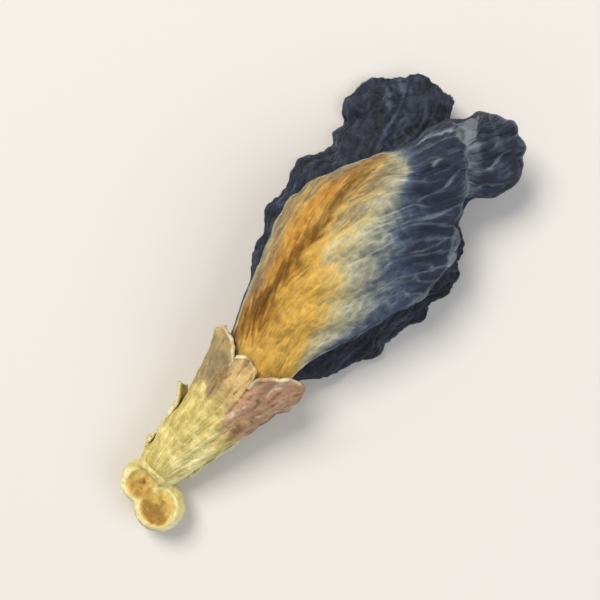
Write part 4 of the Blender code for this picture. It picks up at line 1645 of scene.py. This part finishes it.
@dataclass
class Calyx:
    """The ribbed calyx tube with its five lobes, and the two scales that hug its foot."""

    rows: tuple[Arch, ...] = (
        Arch(3.3, 1.12, 2.15, 1.0, 1.0),
        Arch(4.0, 1.06, 2.25, 1.54, 1.45),
        Arch(4.7, 1.0, 2.35, 1.69, 1.55),
        Arch(6.6, 0.93, 2.75, 1.76, 1.65),
        Arch(8.6, 0.84, 3.0, 2.06, 1.95),
        Arch(10.6, 0.88, 3.3, 2.5, 2.4),
        Arch(12.6, 1.06, 3.65, 3.04, 2.9),
        Arch(14.6, 1.2, 3.95, 3.6, 3.2),
        Arch(16.6, 1.2, 4.2, 4.0, 3.4),
    )
    lobes: tuple[Lobe, ...] = (
        Lobe(-16.0, 26.0, 2.4, 0.22, 0.66, 0.5),
        Lobe(62.0, 79.0, 1.95, 0.0, 0.72, 0.4),
        Lobe(100.0, 134.0, 3.3, 0.2, 0.84, 1.25, 0.2),
        Lobe(179.0, 214.0, 2.4, 0.35, 0.45, 0.6),
        Lobe(259.0, 306.0, 2.3, 0.35, 0.45, 0.6),
    )
    # Both scales' cross sections, from the foot to the tip
    scales: dict[Side, tuple[ScaleRow, ...]] = field(
        default_factory=lambda: {
            Side.LEFT: (
                ScaleRow(4.3, -25.0, 20.0, 0.12),
                ScaleRow(5.0, -30.0, 42.0, 0.42),
                ScaleRow(6.0, -44.0, 36.0, 0.34),
                ScaleRow(7.2, -36.0, 36.0, 0.4),
                ScaleRow(8.4, -22.0, 31.0, 0.6),
                ScaleRow(9.4, -12.0, 12.0, 1.05),
            ),
            Side.RIGHT: (
                ScaleRow(4.4, 225.0, 20.0, 0.2),
                ScaleRow(5.2, 231.0, 34.0, 0.45),
                ScaleRow(6.4, 233.0, 33.0, 0.5),
                ScaleRow(7.4, 232.0, 30.0, 0.55),
                ScaleRow(8.4, 230.0, 23.0, 0.7),
                ScaleRow(9.2, 227.0, 10.0, 0.95),
            ),
        }
    )
    # Brown patches seen from above: painted shade on the middle lobe, between it and the ashen one,
    # and brown where the pink starts
    brown_and_shade_patches: tuple[Patch, ...] = (Patch(12.0, 2.3, 0.9, 0.55, 1.3), Patch(9.9, -0.95, 1.1, 0.5, 1.3))
    foot_x: float = 3.35
    tube_end_x: float = 12.2
    tube_steps: int = 88
    lobe_steps: int = 36
    lobe_columns: int = 42
    rib_count: int = 10
    rib_height: float = 0.1
    # Real nerves are about 0.05 mm wide, less than a pixel, so they are drawn wider, as they need it
    # to show
    nerve_mm: float = 0.62
    thickness: float = 0.26
    scale_samples: tuple[int, int] = (84, 56)

    def _point(self, x: float, angle: float, out: float) -> Point:
        """A point at an angle round the calyx, a distance outside its middle surface.

        Args:
            x: Place along the flower.
            angle: Angle round the calyx in degrees.
            out: Distance outside the middle surface.

        Returns:
            The layout point.
        """
        table = np.array([row[:5] for row in self.rows])
        y, z, half_width, half_height = (
            float(np.interp(x, table[:, 0], table[:, i])) for i in range(1, 5)
        )
        turn = math.radians(angle)
        ribbed = float(smooth_step(4.7, 7.0, np.array(x)))
        reach = out + self.rib_height * (1.0 + math.cos(self.rib_count * turn)) * ribbed
        y += (half_width + reach) * math.cos(turn)
        return (x, y, z + (half_height + reach) * math.sin(turn))

    def _sheet(self) -> tuple[np.ndarray, np.ndarray, np.ndarray]:
        """The tube ring by ring and each lobe on from its last ring.

        Returns:
            Points, quads, and for each point its share of the way along its lobe and its place
            across it from -1 to 1.
        """
        starts = [lobe.start for lobe in self.lobes]
        ends = starts[1:] + [starts[0] + 360.0]
        ring = np.concatenate(
            [np.linspace(a, b, self.lobe_columns, endpoint=False) for a, b in zip(starts, ends)]
        )
        count = len(ring)
        points, quads, facts = [], [], []
        for x in np.linspace(self.foot_x, self.tube_end_x, self.tube_steps + 1):
            for i, angle in enumerate(ring):
                points.append(self._point(float(x), float(angle), 0.0))
                across = 2.0 * (i % self.lobe_columns) / self.lobe_columns - 1.0
                facts.append((0.0, across))
        quads.append(grid_quads(self.tube_steps + 1, count, wrap=True))
        for index, (lobe, end) in enumerate(zip(self.lobes, ends)):
            span = end - lobe.start
            first_below = self.tube_steps * count + index * self.lobe_columns
            below = [first_below + i for i in range(self.lobe_columns)]
            below.append(self.tube_steps * count + (index + 1) * self.lobe_columns % count)
            faces = []
            for step in range(1, self.lobe_steps + 1):
                t = step / self.lobe_steps
                width = 1.0 - (1.0 - lobe.blunt) * t**4 - 0.03 * t
                middle = lobe.start + 0.5 * span + (lobe.angle - lobe.start - 0.5 * span) * t
                first = len(points)
                for i in range(self.lobe_columns + 1):
                    across = 2.0 * i / self.lobe_columns - 1.0
                    angle = middle + 0.5 * span * width * across
                    rounding = lobe.cut * t * abs(across - lobe.apex) ** 1.6
                    out = lobe.stands_out * t**2 + 0.12 * across**2 * t
                    x = self.tube_end_x + lobe.reach * t - rounding
                    points.append(self._point(x, angle, out))
                    facts.append((t, across))
                row = list(range(first, first + self.lobe_columns + 1))
                for i in range(self.lobe_columns):
                    faces.append((below[i], row[i], row[i + 1], below[i + 1]))
                below = row
            quads.append(np.array(faces))
        return np.array(points), np.concatenate(quads), np.array(facts)

    def build(self) -> list[bpy.types.Object]:
        """Builds the calyx and its two scales.

        Returns:
            The three pieces.
        """
        points, quads, facts = self._sheet()
        share, across = facts.T
        x, y = points[:, 0].copy(), points[:, 1].copy()
        axis_y, axis_z, usual_radius = 1.0, 3.3, 2.2
        turn = np.arctan2(points[:, 2] - axis_z, y - axis_y)
        veins = np.column_stack([x, turn * usual_radius])
        nerves = vein_lines(veins, self.nerve_mm, 0.08, 78)
        on_lobe = smooth_step(10.5, 12.5, x)
        lumps = soft_noise(points / (0.9, 0.7, 0.7), 72)
        wrinkles = soft_noise(points / 0.42, 71)
        strands = crumpled(veins / (3.0, 0.55), 73)
        blotch = soft_noise(points / (1.6, 0.7, 0.7), 75)
        small = 0.07 * lumps + 0.05 * wrinkles + 0.1 * strands + 0.07 * nerves
        waves = 0.2 * on_lobe * soft_noise(points / 1.3, 74) + 0.14 * soft_noise(points / 1.9, 79)
        height = (small + waves) * smooth_step(3.5, 4.4, x)
        ragged = 0.16 * soft_noise(points / 0.6, 77) * smooth_step(0.75, 1.0, share)
        points = points + quad_normals(points, quads) * height[:, None]
        points[:, 0] += ragged
        points[:, 2] = np.maximum(points[:, 2], 0.5 * self.thickness)
        seen_from_above = smooth_step(1.5, 3.0, points[:, 2])
        upper_side = smooth_step(0.2, 1.0, points[:, 2] - 2.0)
        # The pink lobe on the right, and the ashen one on the left
        blushed = smooth_step(7.4, 11.8, x - 0.4 * y + 1.5 * blotch + 0.7 * wrinkles)
        blushed *= smooth_step(1.0, 0.0, y + 0.35 * blotch) * upper_side
        blushed *= 0.75 + 0.5 * smooth_step(-0.3, 0.4, lumps)
        ashen = smooth_step(1.6, 2.8, y - 0.3 * (x - 12.0) + 0.5 * blotch)
        ashen *= smooth_step(9.0, 12.0, x + 1.4 * blotch) * (1.0 - 0.6 * smooth_step(12.8, 14.2, x))
        # Brown and pale streaks, brown patches, painted shade along the seams between the lobes and
        # worn pale edges
        brown_and_shade_marks = smooth_step(0.05, 0.5, soft_noise(veins / (1.6, 0.25), 76))
        brown_and_shade_marks *= smooth_step(9.0, 11.5, x)
        brown_and_shade_marks = np.maximum(brown_and_shade_marks, patched(x, y + 0.3 * blotch, self.brown_and_shade_patches) * seen_from_above)
        flecks = soft_noise(veins / (1.9, 0.32), 70) + 0.5 * soft_noise(points / 0.45, 69)
        brown_and_shade_marks = np.maximum(brown_and_shade_marks, 1.05 * smooth_step(0.05, 0.6, flecks) * blushed)
        # Painted shade where the lobes meet
        shade_at_lobe_seams = hump(1.0 - np.abs(across), 0.0, 0.13) * smooth_step(9.5, 11.0, x) * (share < 0.6)
        at_side = np.exp(-(1.0 - np.abs(across)) * 1.6 / 0.16) * (share > 0.3)
        edge = np.maximum(np.exp(-(1.0 - share) * 2.6 / 0.22), at_side)
        edge *= 0.5 + 0.5 * smooth_step(-0.4, 0.3, blotch)
        # Paler on the lumps, wrinkles and nerves and darker olive between them: painted highlights
        # and painted shade
        lit_lumps = level_out(0.3 * wrinkles + 0.25 * strands + 0.3 * lumps + 0.25 * nerves)
        # Painted light on the right flank towards the foot, which the lamps leave darker
        painted_light_on_right_flank = smooth_step(1.8, 0.2, y) * smooth_step(9.5, 7.0, x)
        marks = {
            Mark.SHEET: sheet_marks(veins),
            Mark.PAINTED_RELIEF_SHADE: level_out(small),
            Mark.FADE: 0.36 + 0.45 * lit_lumps + 0.35 * painted_light_on_right_flank,
            Mark.WARM: smooth_step(9.0, 12.0, x + 0.6 * blotch) * seen_from_above,
            Mark.ASH: ashen,
            Mark.BLUSH: blushed,
            Mark.GROOVE: np.maximum(0.75 * brown_and_shade_marks, 0.8 * shade_at_lobe_seams),
            Mark.EDGE: np.maximum(edge, 0.62 * smooth_step(0.05, -0.6, flecks) * blushed),
        }
        calyx = make_sheet("calyx_sheet", points, marks, self.thickness, quads)
        dress(calyx, CALYX_TISSUE, "calyx", "calyx")
        return [calyx] + [self._scale(side) for side in Side]

    def _scale(self, side: Side) -> bpy.types.Object:
        """One small scale at the foot of the calyx.

        Args:
            side: Which of the two.

        Returns:
            The scale.
        """
        shares = (-1.0, -0.5, 0.0, 0.5, 1.0)
        net = [
            [self._point(row.x, row.angle + row.half_angle * share, row.out) for share in shares]
            for row in self.scales[side]
        ]
        rows, columns = self.scale_samples
        along_places = np.linspace(0.0, len(net) - 1.0, rows)
        points = surface_through(net, along_places, np.linspace(0.0, 4.0, columns))
        along, across = arc_lengths(points, 0), arc_lengths(points, 1)
        veins = np.stack([along, across], axis=-1)
        v = np.linspace(-1.0, 1.0, columns)[None, :] * np.ones((rows, 1))
        wrinkles = ridges(points / (0.9, 0.5, 0.5), 81 + side.value, 1.2)
        small = 0.09 * wrinkles + 0.09 * soft_noise(points / 0.6, 83)
        points = points + grid_normals(points) * (small * smooth_step(0.0, 0.5, along))[..., None]
        fray = 0.22 * soft_noise(points / 0.55, 85) * smooth_step(0.7, 1.0, np.abs(v))
        points[..., 0] += fray
        points[..., 1] += side.value * 0.5 * fray
        points[..., 2] = np.maximum(points[..., 2], 0.5 * self.thickness)
        to_side = (1.0 - np.abs(v)) * 0.5 * across[:, [-1]]
        edge = np.maximum(np.exp(-to_side / 0.16), np.exp(-(along[[-1], :] - along) / 0.2))
        # Lighter on the wrinkles' ridges: painted highlights
        marks = {
            Mark.SHEET: sheet_marks(veins),
            Mark.PAINTED_RELIEF_SHADE: level_out(small),
            Mark.FADE: 0.4 + 0.5 * level_out(wrinkles),
            Mark.EDGE: edge * smooth_step(0.0, 0.8, along),
            Mark.GROOVE: 0.4 * smooth_step(0.25, 0.7, soft_noise(veins / (0.9, 0.3), 84)),
            Mark.ASH: 0.25 * smooth_step(6.0, 9.0, points[..., 0]),
        }
        name = f"bracteole_{side.name.lower()}"
        piece = make_sheet(f"{name}_sheet", points, marks, self.thickness)
        dress(piece, CALYX_TISSUE, "bracteoles", name)
        return piece


class Scar(NamedTuple):
    """A rounded lump of the knob with a shallow scar: where the scar looks and how wide it is."""

    centre: Point
    radius: float
    looks: Point
    scar_radius: float


@dataclass
class Receptacle:
    """The knob with its two rimmed scars, and the axis inside the calyx."""

    scars: tuple[Scar, ...] = (
        Scar((2.45, 1.2, 1.75), 1.6, (-0.1, -0.1, 1.0), 1.24),
        Scar((2.0, -0.85, 1.65), 1.85, (0.0, 0.0, 1.0), 1.42),
    )
    # The collar's centre, its radius and how much it is squashed
    collar: tuple[Point, float, float] = ((3.6, 1.08, 2.2), 1.5, 0.6)
    axis_points: tuple[Point, ...] = (
        (3.4, 1.1, 2.15), (5.5, 1.08, 2.5), (8.0, 0.98, 2.92), (11.0, 0.97, 3.2),
    )
    axis_radii: tuple[float, ...] = (0.85, 0.8, 0.85, 0.7)
    scar_depth: float = 0.27
    rim_height: float = 0.14
    voxel: float = 0.08
    # How the raw skin is evened out before the scars are pressed in
    soften_share: float = 0.5
    soften_rounds: int = 14

    def _skin(self) -> PointsAndQuads:
        """The lumps, the collar and the axis under one even skin.

        Returns:
            Its points and its quads.
        """
        parts = [ball_mesh(scar.centre, scar.radius) for scar in self.scars]
        parts.append(ball_mesh(*self.collar))
        parts.append(tube_mesh(self.axis_points, self.axis_radii, 32, 60))
        points, quads = joined(parts)
        lump = bpy.data.meshes.new("knob_lump")
        lump.from_pydata(points.tolist(), [], quads.tolist())
        shape = bpy.data.objects.new("knob_lump", lump)
        bpy.context.scene.collection.objects.link(shape)
        skin = shape.modifiers.new("skin", "REMESH")
        skin.mode = "VOXEL"
        skin.voxel_size = self.voxel
        soften = shape.modifiers.new("soften", "SMOOTH")
        soften.factor = self.soften_share
        soften.iterations = self.soften_rounds
        bpy.context.view_layer.update()
        graph = bpy.context.evaluated_depsgraph_get()
        made = bpy.data.meshes.new_from_object(shape.evaluated_get(graph))
        bpy.data.objects.remove(shape, do_unlink=True)
        points = np.array([vert.co[:] for vert in made.vertices])
        quads = np.array([face.vertices[:] for face in made.polygons if len(face.vertices) == 4])
        bpy.data.meshes.remove(made)
        return points, quads

    def build(self) -> bpy.types.Object:
        """Builds the knob and presses its scars in.

        Returns:
            The knob.
        """
        points, quads = self._skin()
        push = np.zeros_like(points)
        weight = np.zeros(len(points))
        inside = np.full(len(points), -3.0)
        for scar in self.scars:
            looks = np.array(scar.looks) / np.linalg.norm(scar.looks)
            away = points - np.array(scar.centre)
            level = away @ looks
            from_axis = np.linalg.norm(away - level[:, None] * looks, axis=1)
            from_axis += 0.14 * soft_noise(points / 0.9, 90)
            facing = smooth_step(0.1, 0.6, level)
            floor = math.sqrt(scar.radius**2 - scar.scar_radius**2) + 0.05
            floor = floor - self.scar_depth * (1.0 - (from_axis / scar.scar_radius) ** 2)
            pressed = smooth_step(scar.scar_radius + 0.08, scar.scar_radius - 0.16, from_axis)
            pressed *= facing
            push += (pressed * (floor - level))[:, None] * looks
            weight += pressed
            inside = np.maximum(inside, np.where(facing > 0.3, scar.scar_radius - from_axis, -3.0))
        points = points + push / np.maximum(weight, 1.0)[:, None]
        outer = smooth_step(3.0, 2.2, points[:, 0])
        rim = hump(inside, -0.16, 0.22) * outer
        points[:, 2] += self.rim_height * rim
        rough = 0.035 * soft_noise(points / 0.5, 91) + 0.04 * ridges(points / 0.6, 92, 1.3)
        points = points + quad_normals(points, quads) * rough[:, None]
        points[:, 2] = np.maximum(points[:, 2], 0.0)
        pith = soft_noise(points / 0.5, 93)
        # The scars turn deeper gold towards their middles: their own colour, darkened there as
        # painted shade in the hollows
        golden = smooth_step(-0.08, 0.35, inside)
        golden *= 0.55 + 0.42 * smooth_step(2.7, 1.2, points[:, 0]) + 0.2 * pith
        # Paler in patches just inside the rim, away from the calyx
        paler_inside_rim = smooth_step(-0.2, 0.5, soft_noise(points / 1.4, 98) + 0.3)
        golden -= 0.3 * hump(inside, 0.22, 0.2) * paler_inside_rim * outer
        towards_calyx = smooth_step(2.4, 3.2, points[:, 0]) * smooth_step(-0.3, -0.05, inside)
        golden += 0.2 * towards_calyx * (inside < 0.0)
        pits = smooth_step(0.1, 0.5, soft_noise(points / 0.25, 94))
        pits *= 0.35 * smooth_step(0.1, 0.4, inside)
        # The rim is pale and gets painted highlights; the scars' middles are browner, partly as
        # painted shade
        marks = {
            Mark.SHEET: points,
            Mark.PAINTED_RELIEF_SHADE: 0.45 + 0.3 * level_out(rough) + 0.25 * rim,
            Mark.FADE: (0.22 + 0.2 * pith) * (1.0 - smooth_step(-0.1, 0.1, inside)) + golden,
            Mark.GROOVE: pits + 0.65 * smooth_step(0.45, 1.0, inside) * (0.8 + 0.4 * pith),
            Mark.EDGE: rim,
        }
        piece = make_mesh("receptacle_body", points, quads, marks)
        dress(piece, KNOB_TISSUE, "receptacle", "receptacle")
        return piece


@dataclass
class StamenBundle:
    """The open sheath of joined filaments with its anthers."""

    rows: tuple[Arch, ...] = (
        Arch(11.6, 1.0, 3.3, 0.8, 0.8, 154.0, 386.0),
        Arch(16.0, 1.4, 3.1, 0.85, 0.85, 160.0, 380.0),
        Arch(20.5, 1.9, 2.62, 0.86, 0.86, 162.0, 378.0),
        Arch(25.0, 2.3, 2.45, 0.86, 0.86, 162.0, 378.0),
    )
    stamens: int = 10
    thickness: float = 0.14
    samples: tuple[int, int] = (90, 56)
    # Each free filament's guide points as the share of its reach, the way off the middle and the lift
    filament: tuple[Point, ...] = (
        (0.0, 0.86, 0.0), (0.4, 0.86, 0.05), (0.75, 0.86, 0.15), (1.0, 0.84, 0.26),
    )
    filament_radii: tuple[float, ...] = (0.12, 0.1, 0.08, 0.06)
    anther_offsets: tuple[float, ...] = (-0.1, 0.2, 0.5, 0.8)
    anther_radii: tuple[float, ...] = (0.16, 0.26, 0.26, 0.16)

    def _strand(self, index: int, angle: float) -> list[PointsAndQuads]:
        """One free filament and its anther.

        Args:
            index: Its number, which sets how far it reaches.
            angle: Where it leaves the sheath, in radians.

        Returns:
            The points and quads of both.
        """
        last = self.rows[-1]
        reach = 2.3 + 0.45 * ((index * 3) % 4)
        line = []
        for step, bend, lift in self.filament:
            x = last.x - 0.5 + step * reach
            y = last.y + bend * math.cos(angle) + 0.12 * step * reach
            line.append((x, y, last.z + bend * math.sin(angle) + lift))
        end = np.array(line[-1])
        ahead = (end - np.array(line[-2])) / np.linalg.norm(end - np.array(line[-2]))
        anther = [tuple(end + ahead * offset) for offset in self.anther_offsets]
        return [
            tube_mesh(line, self.filament_radii, 10, 24),
            tube_mesh(anther, self.anther_radii, 14, 18),
        ]

    def build(self) -> list[bpy.types.Object]:
        """Builds the sheath and its strands.

        Returns:
            The two pieces.
        """
        along_places = np.linspace(0.0, 3.0, self.samples[0])
        across_places = np.linspace(0.0, 6.0, self.samples[1])
        net = [arch_row(arch, 7) for arch in self.rows]
        sheath = surface_through(net, along_places, across_places)
        veins = np.stack([sheath[..., 0], arc_lengths(sheath, 1)], axis=-1)
        strands = ridges(veins / (5.0, 0.3), 95, 1.2)
        sheath = sheath + grid_normals(sheath) * 0.07 * strands[..., None]
        # Lighter on the raised strands: painted highlights
        marks = {Mark.SHEET: sheet_marks(veins), Mark.PAINTED_RELIEF_SHADE: strands, Mark.FADE: strands}
        sheet = make_sheet("stamen_sheath_sheet", sheath, marks, self.thickness)
        dress(sheet, STRAND_TISSUE, "stamens", "stamens")
        last = self.rows[-1]
        turns = np.radians(np.linspace(last.start + 12, last.end - 12, self.stamens))
        parts = [part for index, angle in enumerate(turns) for part in self._strand(index, angle)]
        points, quads = joined(parts)
        # Every second part is an anther
        anther = np.concatenate([np.full(len(part[0]), float(i % 2)) for i, part in enumerate(parts)])
        grain = 0.5 + 0.5 * soft_noise(points / 0.3, 96)
        marks = {Mark.SHEET: points, Mark.PAINTED_RELIEF_SHADE: grain, Mark.FADE: grain, Mark.WARM: anther}
        bundle = make_mesh("stamen_strands", points, quads, marks)
        dress(bundle, STRAND_TISSUE, "stamens", "stamens")
        return [sheet, bundle]


@dataclass
class Pistil:
    """The slim ovary with its curved style and paler stigma."""

    points: tuple[Point, ...] = (
        (11.6, 1.0, 3.34), (16.0, 1.4, 3.14), (20.5, 1.9, 2.68), (25.5, 2.33, 2.55),
        (28.8, 2.75, 2.75), (31.2, 2.9, 3.3),
    )
    radii: tuple[float, ...] = (0.22, 0.26, 0.28, 0.26, 0.2, 0.18)

    def build(self) -> bpy.types.Object:
        """Builds the pistil.

        Returns:
            The pistil.
        """
        points, quads = tube_mesh(self.points, self.radii, 24, 220)
        grain = soft_noise(points / (0.9, 0.2, 0.2), 97)
        points = points + quad_normals(points, quads) * 0.03 * grain[:, None]
        # Lighter where the grain stands out: painted highlights
        marks = {
            Mark.SHEET: points,
            Mark.PAINTED_RELIEF_SHADE: 0.5 + 0.5 * grain,
            Mark.FADE: 0.5 + 0.5 * grain,
            Mark.EDGE: smooth_step(29.5, 31.0, points[:, 0]),
        }
        piece = make_mesh("pistil_body", points, quads, marks)
        dress(piece, PISTIL_TISSUE, "pistil", "pistil")
        return piece


# The studio


class Lamp(NamedTuple):
    """A soft square lamp: its place in the picture, its height, its side, its power and its colour.

    The place is how far to the left and how far up the picture it stands. Lengths are in metres and
    the power is in watts.
    """

    name: str
    to_left: float
    upwards: float
    height: float
    side: float
    power: float
    colour: str


@dataclass
class Studio:
    """A pale table seen from straight above in soft light from the upper left."""

    lamps: tuple[Lamp, ...] = (
        Lamp("window_light", 0.2, 0.26, 0.5, 0.26, 3.1, "#fff8ef"),
        Lamp("fill_light", -0.35, -0.15, 0.4, 0.4, 1.15, "#f0f4ff"),
    )
    room_colour: str = "#f4f5f7"
    room_strength: float = 0.45
    floor_radius: float = 2.0
    # The picture is 42 mm wide 4 mm above the table and shows +X turned 45.5 degrees up from its
    # right-hand side. The camera's lens and sensor are in millimetres
    view_width_mm: float = 42.0
    focus_height: float = 0.004
    flower_heading: float = 45.5
    lens: float = 100.0
    sensor: float = 36.0
    clip: tuple[float, float] = (0.001, 20.0)

    def _floor(self) -> None:
        """Builds the table top."""
        mesh = bpy.data.meshes.new("table_top")
        turns = np.linspace(0.0, 2.0 * math.pi, 96, endpoint=False)
        rim = np.column_stack([np.cos(turns), np.sin(turns), np.zeros_like(turns)])
        mesh.from_pydata((self.floor_radius * rim).tolist(), [], [tuple(range(len(rim)))])
        mesh.materials.append(MattLaminate().make())
        floor = bpy.data.objects.new("table_top", mesh)
        bpy.context.scene.collection.objects.link(floor)

    def _light(self, lamp: Lamp, heading: float) -> None:
        """Hangs one lamp, which looks at the flower.

        Args:
            lamp: The lamp.
            heading: How far the picture is turned, in radians.
        """
        light = bpy.data.lights.new(lamp.name, "AREA")
        light.shape = "SQUARE"
        light.size = lamp.side
        light.energy = lamp.power
        light.color = linear(lamp.colour)[:3]
        left = np.array((-math.cos(heading), math.sin(heading)))
        upward = np.array((math.sin(heading), math.cos(heading)))
        place = (*(lamp.to_left * left + lamp.upwards * upward), lamp.height)
        obj = bpy.data.objects.new(lamp.name, light)
        obj.location = place
        obj.rotation_euler = (-Vector(place)).to_track_quat("-Z", "Y").to_euler()
        bpy.context.scene.collection.objects.link(obj)

    def build(self) -> None:
        """Builds the table, the lights and the camera."""
        self._floor()
        heading = math.radians(self.flower_heading)
        for lamp in self.lamps:
            self._light(lamp, heading)
        world = bpy.data.worlds.new("pale_room")
        world.use_nodes = True
        sky = world.node_tree.nodes["Background"]
        sky.inputs["Color"].default_value = linear(self.room_colour)
        sky.inputs["Strength"].default_value = self.room_strength
        scene = bpy.context.scene
        scene.world = world
        scene.view_settings.view_transform = "Standard"
        camera = bpy.data.cameras.new("camera")
        camera.type = "PERSP"
        camera.lens = self.lens
        camera.sensor_width = self.sensor
        camera.clip_start, camera.clip_end = self.clip
        obj = bpy.data.objects.new("camera", camera)
        distance = self.view_width_mm * MM * self.lens / self.sensor
        obj.location = (0.0, 0.0, self.focus_height + distance)
        obj.rotation_euler = (0.0, 0.0, -heading)
        scene.collection.objects.link(obj)
        scene.camera = obj


def main() -> None:
    """Builds the studio and the flower piece by piece."""
    logging.basicConfig(level=logging.INFO, format="%(name)s: %(message)s")
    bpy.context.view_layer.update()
    Studio().build()
    Receptacle().build()
    Calyx().build()
    Pistil().build()
    StamenBundle().build()
    Keel().build()
    WingPetal(Side.LEFT, LEFT_WING, 3).build()
    WingPetal(Side.RIGHT, RIGHT_WING, 4).build()
    StandardPetal().build()


if __name__ == "__main__":
    main()
